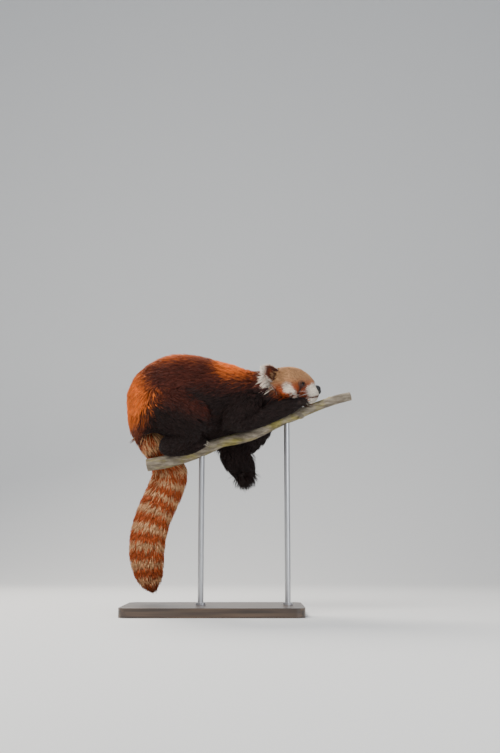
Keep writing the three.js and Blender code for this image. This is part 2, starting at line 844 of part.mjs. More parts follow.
const redPanda = new THREE.Group();
const head = new THREE.Group();
head.applyMatrix4(headFrame);
redPanda.add(head);

const solids = fleshSolids();
for (const { name, material } of flesh) {
  if (inHead.has(name)) head.add(meshOf(name, solids.get(name), material, headFrame));
  else redPanda.add(meshOf(name, solids.get(name), material));
}
head.add(meshOf("eye_right", eyeball(-1), eyeBrown));
head.add(meshOf("eye_left", eyeball(1), eyeBrown));
head.add(meshOf("nose", nose().subtract(nostrils()), noseBlack));

redPanda.add(meshOf("perch_branch", branchSolid(), bark));
redPanda.add(meshOf("stand_base", basePlate(), lacquer));
redPanda.add(meshOf("stand_rod_rear", rod(ROD_STATIONS[0]), steel));
redPanda.add(meshOf("stand_rod_front", rod(ROD_STATIONS[1]), steel));

export default redPanda;
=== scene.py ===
# %% [markdown]
# # A red panda that rests along a branch
# This lesson dresses a life-size museum model: skin, coat, eyes, nose, claws, whiskers and the perch.
# The measured frame is loaded first, because each piece below takes its place and size from it.

# %% Load the frame
import math
import bpy
import numpy as np
from mathutils import Matrix, Vector, noise
from mathutils.kdtree import KDTree


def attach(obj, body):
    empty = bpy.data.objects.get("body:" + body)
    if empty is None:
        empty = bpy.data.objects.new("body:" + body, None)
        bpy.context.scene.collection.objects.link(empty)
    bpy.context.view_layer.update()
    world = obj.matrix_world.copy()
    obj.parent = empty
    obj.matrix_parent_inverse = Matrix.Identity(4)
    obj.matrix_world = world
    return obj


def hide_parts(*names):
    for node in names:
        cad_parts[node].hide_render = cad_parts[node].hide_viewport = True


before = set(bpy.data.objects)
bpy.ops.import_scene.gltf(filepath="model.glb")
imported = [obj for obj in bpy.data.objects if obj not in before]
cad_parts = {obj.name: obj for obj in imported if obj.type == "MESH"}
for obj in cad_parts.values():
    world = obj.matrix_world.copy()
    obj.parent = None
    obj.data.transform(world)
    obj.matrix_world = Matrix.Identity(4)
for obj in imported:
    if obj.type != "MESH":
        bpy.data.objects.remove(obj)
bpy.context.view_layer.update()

# %% [markdown]
# ## Working by hand, in code
# Operators act on all that is selected, so every step starts with nothing selected.
# These helpers do what a modeller does without thinking: pick one piece, go into edit mode, apply a modifier.

# %% Selection and edit mode
MM = 0.001
SIDES = ((-1, "right"), (1, "left"))


def pick(*pieces):
    if bpy.context.mode != "OBJECT":
        bpy.ops.object.mode_set(mode="OBJECT")
    bpy.ops.object.select_all(action="DESELECT")
    for piece in pieces:
        piece.select_set(True)
    bpy.context.view_layer.objects.active = pieces[0]


def edit(piece):
    pick(piece)
    bpy.ops.object.mode_set(mode="EDIT")


def done():
    bpy.ops.object.mode_set(mode="OBJECT")


def settled(name, piece):
    """The piece under its name, with its place, turn and size moved into its mesh."""
    pick(piece)
    bpy.ops.object.transform_apply(location=True, rotation=True, scale=True)
    piece.name = piece.data.name = name
    return piece


def joined(name, pieces):
    pick(*pieces)
    if len(pieces) > 1:
        bpy.ops.object.join()
    return settled(name, bpy.context.object)


def smoothed(piece, turn_out=False):
    """Smooth shading, and first all faces turned outwards where a mesh was put together face by face."""
    if turn_out:
        edit(piece)
        bpy.ops.mesh.select_all(action="SELECT")
        bpy.ops.mesh.normals_make_consistent(inside=False)
        done()
    pick(piece)
    bpy.ops.object.shade_smooth()
    return piece


def finish_with(piece, kind, **settings):
    """The piece with a modifier made and applied at once."""
    pick(piece)
    modifier = piece.modifiers.new(kind.lower(), kind)
    for name, value in settings.items():
        setattr(modifier, name, value)
    bpy.ops.object.modifier_apply(modifier=modifier.name)
    return piece


# %% [markdown]
# ## Forms swept through sections
# A trunk, a limb and a tail are each a row of ovals along a bent middle line.
# They could be sculpted, but a sculpt can't be measured again.
# Sections keep the sizes in sight: place, then how far the form reaches to the side, up and down.

# %% A form
def along_curve(points, share):
    """The smooth curve through the points, at shares of its length from 0 to 1."""
    padded = np.vstack([2 * points[0] - points[1], points, 2 * points[-1] - points[-2]])
    last = len(points) - 1
    x = np.clip(share, 0, 1) * last
    i = np.minimum(x.astype(int), last - 1)
    w = (x - i)[:, None]
    a, b, c, d = (padded[i + k] for k in range(4))
    return 0.5 * (2 * b + (c - a) * w + (2 * a - 5 * b + 4 * c - d) * w**2 + (3 * b - a - 3 * c + d) * w**3)


def unit(vectors):
    return vectors / np.maximum(np.linalg.norm(vectors, axis=-1, keepdims=True), 1e-9)


class Form:
    """A row of ovals, each (x, y, z, reach to the side, up, down). Reaches left out repeat the last one."""

    def __init__(self, sections, caps=(0.14, 0.12), under=8.0, place=None):
        rows = np.array([(*s, *[s[-1]] * (6 - len(s))) for s in sections], float)
        self.middle, self.reach = rows[:, :3], rows[:, 3:]
        self.caps, self.under = caps, under
        self.place = place or Matrix()

    def frame(self, share):
        middle = along_curve(self.middle, share)
        along = unit(along_curve(self.middle, share + 1e-3) - along_curve(self.middle, share - 1e-3))
        side = unit(np.array([0.0, 1.0, 0.0]) - along * along[:, 1:2])
        return middle, along, side, np.cross(side, along), along_curve(self.reach, share)

    def rounding(self, share):
        """1 along the form, falling to 0 as a quarter circle over each capped end."""
        value = np.ones_like(share)
        for cap, inwards in zip(self.caps, (share, 1 - share)):
            if cap:
                value *= np.sqrt(np.clip(1 - np.clip(1 - inwards / cap, 0, 1) ** 2, 0, 1))
        return value

    def surface(self, share, angle, depth):
        """World points on the form, depth inside its outline, and the way it runs there."""
        middle, along, side, up, reach = self.frame(share)
        round_off = self.rounding(share)[:, None]
        wide = np.maximum((reach[:, :1] - depth) * round_off, 1)
        tall = np.where(np.sin(angle)[:, None] > 0, reach[:, 1:2], reach[:, 2:3])
        tall = np.maximum((tall - depth) * round_off, 1)
        point = middle + side * wide * np.cos(angle)[:, None] + up * tall * np.sin(angle)[:, None]
        turn = np.array(self.place.to_3x3())
        shift = np.array(self.place.translation)
        return point @ turn.T + shift, along @ turn.T


# %% [markdown]
# ## The animal's sections
# All the sizes are in millimetres and are those of the solids, out to the tips of the coat.
# `under` says how deep the skin lies below those tips.

# %% The trunk, the tail and the limbs
SKULL = Vector((180, 0, 557))
HEAD_PITCH, HEAD_YAW = math.radians(12), math.radians(7)
head_turn = Matrix.Rotation(-HEAD_YAW, 4, "Z") @ Matrix.Rotation(-HEAD_PITCH, 4, "Y")
head_place = Matrix.Translation(SKULL) @ head_turn

FORMS = {
    "torso": Form([(136, 0, 530, 56, 62, 52), (92, 0, 522, 71, 74, 70), (48, 0, 521, 84, 87, 88),
                   (0, 0, 520, 93, 100, 100), (-50, 0, 519, 98, 115, 112), (-100, 0, 513, 98, 121, 112),
                   (-148, 0, 496, 90, 98, 82), (-179, 0, 463, 66, 42, 40), (-193, 0, 430, 38, 20, 22)],
                  (0.14, 0.1), 13),
    "neck": Form([(78, 0, 526, 58, 58, 58), (112, 0, 532, 64, 64, 60), (145, 0, 543, 62, 57, 58),
                  (180, -2, 552, 52, 46, 48)], (0.2, 0.2), 10),
    "tail": Form([(-184, 2, 476, 40, 34, 34), (-166, 22, 432, 40, 38, 38), (-126, 52, 384, 38.7, 38.7, 38.7),
                  (-113, 58, 346, 44, 44, 44), (-124, 56, 300, 44, 44, 44), (-146, 46, 250, 44, 44, 44),
                  (-162, 38, 196, 44, 44, 44), (-166, 32, 142, 42.2, 42.2, 42.2),
                  (-160, 30, 96, 35.2, 35.2, 35.2), (-151, 30, 64, 22, 22, 22)], (0.06, 0.08), 15),
    "upper_arm_right": Form([(104, -40, 526, 30, 34), (76, -62, 492, 28, 36), (48, -74, 462, 25, 32),
                             (34, -74, 450, 19, 22)], (0.2, 0.2), 7),
    "forearm_right": Form([(26, -72, 450, 21, 22), (70, -64, 458, 26, 27), (118, -50, 472, 25, 25),
                           (158, -38, 489, 24, 23), (190, -28, 504, 26, 20, 18), (216, -20, 514, 22, 15, 14)],
                          (0.16, 0.12), 6),
    "upper_arm_left": Form([(112, 36, 524, 32, 36), (104, 58, 490, 38, 46), (88, 70, 456, 38, 50),
                            (62, 72, 428, 34, 46), (48, 70, 414, 26, 36)], (0.18, 0.2), 12),
    "forearm_left": Form([(50, 70, 436, 34, 40), (49, 68, 412, 36, 43), (56, 66, 384, 34, 40),
                          (67, 64, 361, 30, 34, 34), (73, 62, 342, 24, 24, 26)], (0.2, 0.16), 12),
}
for s, name in SIDES:
    FORMS["thigh_" + name] = Form([(-158, 48 * s, 508, 36, 42, 40), (-122, 70 * s, 496, 36, 62, 62),
                                   (-78, 84 * s, 476, 34, 62, 60), (-38, 84 * s, 461, 28, 44, 42),
                                   (-17, 80 * s, 456, 20, 28, 28)], (0.2, 0.16), 10)
    FORMS["shank_" + name] = Form([(-34, 80 * s, 449, 26, 28), (-70, 70 * s, 424, 28, 30),
                                   (-104, 54 * s, 404, 24, 26), (-124, 46 * s, 396, 20, 22)], (0.2, 0.2), 7)
    FORMS["foot_" + name] = Form([(-128, 44 * s, 394, 20, 20), (-96, 38 * s, 396, 23, 22, 20),
                                  (-60, 33 * s, 402, 26, 22, 20), (-36, 30 * s, 410, 25, 18, 18),
                                  (-24, 29 * s, 413, 20, 13, 14)], (0.16, 0.12), 5)
print(len(FORMS), "forms of the body")

# %% [markdown]
# ## The head's own frame
# The head is turned a little towards the camera and raised, so its sections, eyes and ears are given in a
# frame of its own, with x along the muzzle. Each ear has another frame, with z out along the ear.

# %% The head and the ears
FORMS["head"] = Form([(-50, 0, 2, 38, 30, 30), (-30, 0, 2, 58, 43, 43), (-6, 0, 1, 66, 48, 46),
                      (17, 0, -3, 61, 46, 46), (35, 0, -13, 43, 40, 40), (47, 0, -22, 29, 32, 33),
                      (58, 0, -31, 26, 26, 25), (68, 0, -34, 21, 18, 19), (73, 0, -34, 16, 12, 14)],
                     (0.16, 0.08), 4, head_place)
EYE = (35, 31.5, -13)
EYE_RADIUS = 8
NOSE = (70, 0, -27)


def gaze_of(s):
    """The way an eye looks, in the frame of the head. s is -1 on the right and 1 on the left."""
    return Vector((0.68, 0.72 * s, 0.06)).normalized()


def eye_middle(s):
    return Vector((EYE[0], EYE[1] * s, EYE[2]))


def ear_place(s):
    out = Vector((-0.38, s * 0.86, 0.32)).normalized()
    face = Vector((0.82, s * 0.5, -0.12))
    face = (face - out * face.dot(out)).normalized()
    wide = out.cross(face)
    axes = Matrix((face, wide, out)).transposed().to_4x4()
    return head_place @ Matrix.Translation((-24, s * 45, 22)) @ axes


for s, name in SIDES:
    FORMS["ear_" + name] = Form([(0, 0, -16, 23, 9, 13), (0, 0, 6, 24, 9, 13), (-1, 0, 26, 21, 7, 10),
                                 (-3, 0, 40, 13, 5, 8), (-4, 0, 48, 6, 3, 5)], (0, 0.12), 1.0, ear_place(s))
print("gaze", [tuple(round(v, 2) for v in gaze_of(s)) for s, _ in SIDES])

# %% [markdown]
# ## Sweeping a form into a closed body
# Ovals are added one by one, joined and bridged, as a lofted body is in any modeller.
# The two end ovals are then filled, so that the body is closed.

# %% Loft the forms
def stations(form, steps):
    start, end = form.caps
    rise = [0.04, 0.3, 0.65]
    first = [start * (1 - math.sqrt(1 - b * b)) for b in rise] if start else []
    last = [1 - end * (1 - math.sqrt(1 - b * b)) for b in reversed(rise)] if end else []
    return np.array(first + list(np.linspace(start, 1 - end, steps)) + last)


def loft(name, form, steps, vertices=28):
    ovals = []
    shares = stations(form, steps)
    middle, along, side, up, reach = form.frame(shares)
    size = np.maximum((reach - form.under) * form.rounding(shares)[:, None], 1.2)
    for m, a, b, c, r in zip(middle, along, side, up, size):
        centre = m + c * (r[1] - r[2]) / 2
        turned = Matrix((b, c, -a)).transposed().to_4x4()
        world = form.place @ Matrix.Translation(centre) @ turned
        bpy.ops.mesh.primitive_circle_add(
            vertices=vertices, radius=MM, location=world.translation * MM, rotation=world.to_euler())
        ovals.append(bpy.context.object)
        ovals[-1].scale = (r[0], (r[1] + r[2]) / 2, 1)
    piece = joined(name, ovals)
    edit(piece)
    bpy.ops.mesh.select_all(action="SELECT")
    bpy.ops.mesh.bridge_edge_loops()
    bpy.ops.mesh.select_all(action="DESELECT")
    bpy.ops.mesh.select_non_manifold()
    bpy.ops.mesh.fill_holes(sides=0)
    bpy.ops.mesh.select_all(action="SELECT")
    bpy.ops.mesh.normals_make_consistent(inside=False)
    done()
    return piece


def lump(name, middle, reach, turn=(0, 0, 0), place=None, segments=24, rings=14):
    """A rounded lump, its place and turn given in the frame of the head where place is head_place."""
    own = Matrix.Translation(middle) @ Matrix.Rotation(turn[2], 4, "Z") @ Matrix.Rotation(turn[1], 4, "Y")
    world = (place or Matrix()) @ own @ Matrix.Rotation(turn[0], 4, "X")
    bpy.ops.mesh.primitive_uv_sphere_add(
        segments=segments, ring_count=rings, radius=1, location=world.translation * MM,
        rotation=world.to_euler(), scale=[r * MM for r in reach])
    return settled(name, bpy.context.object)


STEPS = {"torso": 16, "tail": 24, "head": 16, "neck": 8}
body_parts = [loft("skin_" + name, form, STEPS.get(name, 9))
              for name, form in FORMS.items() if name != "head" and not name.startswith("ear")]
print("lofted", len(body_parts), "body forms")

# %% [markdown]
# ## Toes
# Each paw ends in five furred toes side by side, with a claw in each.
# A toe is a small lump that later melts into the paw; the claws stay separate, because they are horn.

# %% Toes
PAWS = {
    "hindleg_right": ((-29, -29, 411), (0.93, 0.1, 0.1), (2, -18, -8)),
    "hindleg_left": ((-29, 29, 411), (0.93, -0.1, 0.1), (2, 18, -8)),
    "foreleg_right": ((214, -21, 512), (0.85, 0.2, -0.1), (-3, 17, 5)),
    "foreleg_left": ((75, 62, 334), (0.35, 0, -0.9), (6, 20, 4)),
}


def toe_roots(paw):
    middle, heading, spread = (Vector(v) for v in PAWS[paw])
    heading = heading.normalized()
    return [(middle + spread * s - heading * 5 * s * s, heading) for s in (-1, -0.5, 0, 0.5, 1)]


for paw in PAWS:
    for k, (root, heading) in enumerate(toe_roots(paw)):
        body_parts.append(lump(f"toe_{paw}_{k}", root, (8, 8, 7.5), segments=16, rings=10))
print("toes", 5 * len(PAWS))

# %% [markdown]
# ## One body skin
# The lofts cross each other at the shoulders and hips, where real skin runs on without a seam.
# A voxel remesh melts closed bodies that cross into one closed surface, and a light smoothing rounds the
# joins.

# %% Melt the body together
body_skin = joined("body_skin", body_parts)
finish_with(body_skin, "REMESH", mode="VOXEL", voxel_size=3.2 * MM)
finish_with(body_skin, "SMOOTH", factor=0.5, iterations=8)
print("body skin", len(body_skin.data.polygons), "faces")

# %% [markdown]
# ## The head
# The skull form alone would be an egg. Cheeks, chin, whisker pads, brows and lids are laid over it as lumps
# and melted in with finer voxels than the body, because the face is read closest.

# %% Head lumps
LEVEL = (0, 0, 0)
head_parts = [loft("skin_head", FORMS["head"], STEPS["head"], 36),
              lump("chin", (44, 0, -50), (24, 16, 10), (0, -0.12, 0), head_place),
              lump("bridge", (46, 0, -8), (22, 12, 9), (0, 0.5, 0), head_place)]
for s, name in SIDES:
    head_parts += [lump("cheek", (8, 42 * s, -19), (24, 18, 21), (0.3 * s, 0, -0.3 * s), head_place),
                   lump("pad", (57, 11.5 * s, -36), (15.5, 12.5, 11.5), LEVEL, head_place),
                   lump("brow", (30, 27 * s, 1), (12, 10, 7), (0, 0.3, 0.7 * s), head_place),
                   lump("lid", eye_middle(s), (10, 10, 10), LEVEL, head_place)]
head_parts += [loft("skin_ear", FORMS["ear_" + name], 9) for _, name in SIDES]
head_skin = joined("head_skin", head_parts)
finish_with(head_skin, "REMESH", mode="VOXEL", voxel_size=1.4 * MM)
finish_with(head_skin, "SMOOTH", factor=0.5, iterations=5)
print("head skin", len(head_skin.data.polygons), "faces")

# %% [markdown]
# ## Cutting the eyes, the ears and the bed of the nose
# Openings are cut after the melting, so that their edges stay crisp: an almond between the lids with a
# socket behind it, the hollow of each ear, and the bed that the nose pad sits in.

# %% Cutters
def cut_from(piece, *cutters):
    for cutter in cutters:
        finish_with(piece, "BOOLEAN", operation="DIFFERENCE", object=cutter, solver="MANIFOLD")
        bpy.data.objects.remove(cutter, do_unlink=True)


for s, _ in SIDES:
    gaze = gaze_of(s)
    slant = (0.18 * s, 0, math.atan2(gaze.y, gaze.x))
    opening = eye_middle(s) + gaze * (EYE_RADIUS + 1.5)
    cut_from(head_skin,
             lump("socket", eye_middle(s), (8.2, 8.2, 8.2), LEVEL, head_place, 32, 20),
             lump("opening", opening, (6, 7.8, 4.1), slant, head_place, 32, 20),
             lump("ear_cup", (10, 0, 18), (13, 16.5, 22), LEVEL, ear_place(s), 32, 20))
cut_from(head_skin, lump("nose_bed", NOSE, (9.6, 12, 9.2), LEVEL, head_place, 24, 16))
print("head after cutting", len(head_skin.data.polygons), "faces")

# %% [markdown]
# ## Head and body become one skin
# The head has finer voxels than the body, so the two are melted apart and then united. That keeps the face
# crisp. The union lists its faces in a new order each time, so they are sorted, or the coat would differ too.

# %% Join head and body into one skin
finish_with(body_skin, "BOOLEAN", operation="UNION", object=head_skin, solver="MANIFOLD")
bpy.data.objects.remove(head_skin, do_unlink=True)
skin = body_skin
skin.name = skin.data.name = "skin"
edit(skin)
bpy.ops.mesh.select_all(action="SELECT")
bpy.ops.mesh.sort_elements(type="CURSOR_DISTANCE", elements={"FACE"})
done()
smoothed(skin)
print("skin", len(skin.data.polygons), "faces")

# %% [markdown]
# ## Unwrapping the skin
# The finish of an exported model is kept on a flat map of its surface. The skin gets one that is cut where
# the surface turns sharply, and each tuft later takes the spot of its root on the same map.

# %% Unwrap the skin
skin.data.uv_layers.new(name="OFBake")
edit(skin)
bpy.ops.mesh.select_all(action="SELECT")
bpy.ops.uv.smart_project(angle_limit=math.radians(66), island_margin=0.002)
done()


def read(collection, name, width):
    values = np.empty(len(collection) * width)
    collection.foreach_get(name, values)
    return values.reshape(-1, width)


skin_points = read(skin.data.vertices, "co", 3) / MM
skin_normals = read(skin.data.vertices, "normal", 3)
print("skin unwrapped,", len(skin_points), "points")

# %% [markdown]
# ## Which way the coat lies
# Hair starts at the nose and runs back over the body, down the limbs and along the tail.
# Guides over every form say so, with the length and height of the coat there.
# A point of the skin takes the mean of its nearest guides, so one region runs softly into the next.

# %% Guides for the coat
# region: (way it lies, length, width, height over the skin, droop, tufts for each square centimetre)
COAT = {
    "torso": (1, 42, 2.4, 12, 0.35, 17),
    "neck": (-1, 32, 2.2, 10, 0.3, 18),
    "tail": (1, 40, 3.0, 16, 0.0, 20),
    "thigh": (1, 31, 2.3, 11, 0.2, 16),
    "shank": (1, 20, 2.0, 7, 0.0, 15),
    "foot": (1, 12, 1.5, 5, 0.0, 26),
    "upper_arm_right": (1, 24, 2.0, 8, 0.1, 17),
    "forearm_right": (1, 18, 1.8, 6, 0.0, 18),
    "upper_arm_left": (1, 40, 2.3, 16, 0.1, 19),
    "forearm_left": (1, 36, 2.2, 17, 0.1, 21),
    "head": (-1, 10, 1.3, 4, 0.05, 42),
    "ear": (1, 9, 1.3, 2.5, 0.0, 34),
}
REGIONS = list(COAT)
# columns of a guide: its point and the way the coat lies take up the first six
LENGTH, WIDTH, HEIGHT, DROOP, REGION, ABOVE, SHARE = range(6, 13)
BURIED = 7


def region_of(name):
    return name if name in COAT else name.rsplit("_", 1)[0]


def tree_of(points):
    tree = KDTree(len(points))
    for i, p in enumerate(points):
        tree.insert(p, i)
    tree.balance()
    return tree


skin_tree = tree_of(skin_points)
guide_rows = []
for name, form in FORMS.items():
    region = region_of(name)
    way, length, width, height, droop, _ = COAT[region]
    for share in np.linspace(0.01, 0.99, 40 if region in ("torso", "tail", "head") else 16):
        angles = np.linspace(0, 2 * math.pi, 24, endpoint=False)
        shares = np.full(24, share)
        point, along = form.surface(shares, angles, form.under)
        above = unit(point - point.mean(0))[:, 2]
        for p, a, up in zip(point, along * way, above):
            guide_rows.append((*p, *a, length, width, height, droop, REGIONS.index(region), up, share))
guides = np.array(guide_rows)
guides = guides[[skin_tree.find(g[:3])[2] < BURIED for g in guides]]
guide_tree = tree_of(guides[:, :3])


def guided(points, near=5):
    """The mean of the nearest guides at each point, and the region of the nearest one."""
    found = np.empty((len(points), near), int)
    away = np.empty((len(points), near))
    for i, p in enumerate(points):
        hits = guide_tree.find_n(p, near)
        found[i] = [h[1] for h in hits]
        away[i] = [h[2] for h in hits]
    weight = 1 / (away**2 + 4)
    weight /= weight.sum(1, keepdims=True)
    mean = (guides[found] * weight[..., None]).sum(1)
    return mean, guides[found[:, 0], REGION].astype(int)


print(len(guides), "guides")

# %% [markdown]
# ## The markings and the painted light
# A red panda is rust above and black below, with a pale muzzle, brow spots, cheeks and ear edges,
# a dark stripe from each eye to the jaw, and a ringed tail. Each marking, and the painted sunlight and shade
# on the back, is a mask between 0 and 1, worked out from the place on the body, and skin and coat read the
# same masks.

# %% Masks of the markings
def fade(value, start, end):
    """0 at start and 1 at end, easing between them."""
    x = np.clip((value - start) / (end - start), 0, 1)
    return x * x * (3 - 2 * x)


def spot(points, centre, radius, soft=0.45):
    """1 in an oval round the centre and 0 outside it."""
    away = np.linalg.norm((points - np.array(centre)) / np.array(radius), axis=1)
    return fade(away, 1 + soft, 1 - soft)


def in_place(points, place):
    """World points in the frame of the head or of an ear."""
    back = np.array(place.inverted())
    return points @ back[:3, :3].T + back[:3, 3]


def between(points, start, end, radius, soft=0.4):
    """1 along the line from start to end and 0 outside its radius."""
    a, b = np.array(start, float), np.array(end, float)
    t = np.clip((points - a) @ (b - a) / ((b - a) @ (b - a)), 0, 1)
    away = np.linalg.norm(points - (a + t[:, None] * (b - a)), axis=1)
    return fade(away, radius * (1 + soft), radius * (1 - soft))


# %% [markdown]
# ## The face
# The pale parts are the muzzle, the chin, a spot over each eye and a tall patch on each cheek. A dark stripe
# runs from the eye to the jaw. Folding the right side onto the left one draws both sides at once.

# %% Masks of the face
def face_masks(folded):
    x, z = folded[:, 0], folded[:, 2]
    muzzle = fade(x, 43, 50) * fade(z + 0.5 * (64 - x), -10, -18)
    chin = fade(z, -42, -48) * fade(x, 36, 44)
    brow = 0.9 * spot(folded, (27, 30, 6), (9, 9, 6.5))
    cheek = 0.95 * spot(folded, (12, 51, -27), (9.5, 24, 20), 0.3)
    stripe = between(folded, (33, 37, -20), (26, 38, -40), 7)
    stripe_end = between(folded, (26, 38, -40), (12, 36, -56), 9)
    round_eye = 0.8 * spot(folded, (37, 33, -13), (10, 12, 8), 0.3)
    nape = 0.75 * fade(x, -6, -30) * fade(z, 2, -16)
    mouth = np.interp(x, [47, 58, 68, 73, 80], [-46, -48, -46, -43, -41])
    lips = fade(np.abs(z - mouth), 2.6, 0.9) * fade(x, 45, 50)
    jaw = fade(z, -40, -52) * fade(x, 36, 24)
    lids = spot(folded, (37, 33, -13), (10, 10, 6.5), 0.3)
    tear = np.max([stripe, stripe_end, round_eye, nape], axis=0)
    white = np.max([muzzle, chin, brow, cheek], axis=0) * (1 - tear) * (1 - 0.9 * lips)
    return dict(white=white, tear=np.maximum(tear, lips), dark=np.maximum(jaw, lids), ginger=fade(z, -25, 5))


def ear_edge(ear):
    """1 along the rim of an ear and 0 away from it, for points in the ear's own frame."""
    half = np.interp(ear[:, 2], [-16, 6, 26, 40, 48], [23, 24, 21, 13, 6])
    return np.maximum(fade(np.abs(ear[:, 1]) / half, 0.70, 0.88), fade(ear[:, 2], 35, 43))


print("mouth line at", face_masks(np.array([[68.0, 15, -46]]))["tear"].round(2))

# %% [markdown]
# ## Trunk, limbs and tail
# Limbs and underside are black, and the black climbs the chest behind the arms, deepened there by painted
# shade.
# Painted shade darkens the rust flanks and lower back to maroon, and painted sunlight brightens the ridge,
# the hindquarters and the shoulders. The tail has pale rings.

# %% Masks of the body
TAIL_RINGS = 12


def body_masks(points, name, above, share):
    x, z = points[:, 0], points[:, 2]
    # Black fur behind the arms, carried higher up the chest as painted shade.
    chest_black_and_shade = fade(x, -80, -20) * fade(z, 566, 522)
    dark = {
        "torso": np.maximum(fade(above, -0.1, -0.6), chest_black_and_shade),
        "neck": np.maximum(fade(above, 0.05, -0.5), chest_black_and_shade),
        "tail": 0.55 * fade(share, 0.93, 0.99),
        "thigh": np.maximum(fade(above, 1.1, -0.3), 0.8 * fade(share, 0.6, 0.9)),
    }
    # Painted sunlight: bright patches on the hindquarters and over the shoulders.
    rump = spot(points, (-188, 0, 540), (62, 130, 78), 0.35)
    shoulder_sunlight = spot(points, (68, 0, 589), (48, 95, 33), 0.4)
    wave = np.sin(2 * math.pi * (share * TAIL_RINGS))
    # Painted shade darkens the flanks and lower back, and painted sunlight brightens the ridge, the
    # hindquarters and the shoulders.
    return dict(
        dark=np.select([name == part for part in dark], list(dark.values()), 1.0),
        painted_shade=fade(z, 622, 590) * (1 - rump) * (1 - shoulder_sunlight) * ~np.isin(name, ["head", "ear", "tail"]),
        ring=fade(wave, 0.05, 0.55) * fade(share, 0.05, 0.1) * (name == "tail"),
        painted_sunlight=np.max([0.55 * fade(z, 598, 630), rump, 0.9 * shoulder_sunlight], axis=0))


def masks_with_painted_light(points):
    """Masks at points of the skin: dark, painted shade, ring, painted sunlight, white, tear and ginger."""
    mean, region = guided(points)
    name = np.array(REGIONS)[region]
    masks = body_masks(points, name, mean[:, ABOVE], mean[:, SHARE])
    local = in_place(points, head_place)
    for key, values in face_masks(local * [1, 0, 1] + np.abs(local) * [0, 1, 0]).items():
        masks[key] = np.where(name == "head", values, masks.get(key, 0.0))
    for s, _ in SIDES:
        own = (name == "ear") & (np.sign(local[:, 1]) == s)
        ear = in_place(points, ear_place(s))
        edge = ear_edge(ear)
        inside = fade(ear[:, 0], 2.5, -1.5) < 0.5
        masks["white"][own] = (0.95 * edge)[own]
        masks["dark"][own] = (np.where(inside, 0.75, 0.25) * (1 - edge))[own]
    return masks


def keep_masks(piece, masks):
    """Each mask as a named value at the points of the mesh, where a material can read it."""
    for name, values in masks.items():
        layer = piece.data.attributes.new(name, "FLOAT", "POINT")
        layer.data.foreach_set("value", values.astype(np.float32))


skin_masks = masks_with_painted_light(skin_points)
keep_masks(skin, skin_masks | dict(tip=np.full(len(skin_points), 0.15), tone=np.full(len(skin_points), 0.4)))
print("masks", {k: round(float(v.mean()), 3) for k, v in skin_masks.items()})

# %% [markdown]
# ## Rooting the tufts
# Hair particles would be lost when the model is exported, so the coat is solid mesh: tens of thousands of
# thin tapered tufts. Each is rooted at a random spot of the skin, more to the square centimetre on the face.

# %% Roots on the skin
chance = np.random.default_rng(2026)
skin.data.calc_loop_triangles()
triangles = read(skin.data.loop_triangles, "vertices", 3).astype(int)
triangle_loops = read(skin.data.loop_triangles, "loops", 3).astype(int)
corner = skin_points[triangles]
centres = corner.mean(1)
areas = np.linalg.norm(np.cross(corner[:, 1] - corner[:, 0], corner[:, 2] - corner[:, 0]), axis=1) / 200
_, triangle_region = guided(centres, 1)
density = np.array([COAT[r][5] for r in REGIONS])[triangle_region]
print("skin area", round(areas.sum()), "cm2, tufts", round((areas * density).sum()))

# %% [markdown]
# ## Where no tuft grows
# The lids, the nose and the skin that lies on the branch stay bare, so that no hair crosses the eye or comes
# out of the wood.

# %% Pick the roots
# place, then radius
BRANCH = np.array([(-166, 2, 357, 16), (-118, -1, 366, 16.5), (-66, -3, 379, 15), (-24, 0, 397, 15.5),
                   (14, 2, 414, 14.5), (52, 1, 422, 14.5), (90, -2, 431, 13.5), (126, -2, 449, 14),
                   (166, 0, 467, 13), (212, 2, 486, 12.5), (258, 0, 505, 12), (300, -3, 519, 11.5),
                   (338, -2, 529, 11)], float)


def branch_clearance(points):
    """How far points are from the middle line of the perch."""
    line = along_curve(BRANCH[:, :3], np.linspace(0, 1, 120))
    return np.sqrt(((points[:, None] - line[None]) ** 2).sum(2).min(1))


summed = np.cumsum(areas * density)
count = int(summed[-1])
picked = np.searchsorted(summed, (np.arange(count) + chance.random(count)) * summed[-1] / count)
picked = np.minimum(picked, len(triangles) - 1)
share_a, share_b = np.sqrt(chance.random(count)), chance.random(count)
mix = np.stack([1 - share_a, share_a * (1 - share_b), share_a * share_b], 1)[..., None]
skin_uv = read(skin.data.uv_layers["OFBake"].uv, "vector", 2)
roots = (corner[picked] * mix).sum(1)
root_normals = unit((skin_normals[triangles[picked]] * mix).sum(1))
root_uv = (skin_uv[triangle_loops[picked]] * mix).sum(1)

root_local = in_place(roots, head_place)
folded = root_local * [1, 0, 1] + np.abs(root_local) * [0, 1, 0]
BARE_EYE, BARE_NOSE, BARE_BRANCH = 10.3, 14.5, 11
bare = np.linalg.norm(folded - np.array(EYE), axis=1) < BARE_EYE
bare |= (np.linalg.norm(folded - np.array([70, 0, -28]), axis=1) < BARE_NOSE) & (folded[:, 0] > 62)
bare |= branch_clearance(roots) < BARE_BRANCH
side_of_root = np.sign(root_local[~bare][:, 1])
roots, root_normals, root_uv, folded = (values[~bare] for values in (roots, root_normals, root_uv, folded))
print("roots", len(roots))

# %% [markdown]
# ## Growing the tufts
# A tuft is a flat blade of three sides that leaves the skin, lies along the body and ends in a point.
# Its end is laid back over the skin it reaches, and neighbours lean together into locks, as real hair does.

# %% Shape each tuft
mean, region = guided(roots)
names = np.array(REGIONS)[region]
length, width, height = (mean[:, column].copy() for column in (LENGTH, WIDTH, HEIGHT))
heading = mean[:, 3:6] - np.outer(mean[:, DROOP], [0, 0, 1])

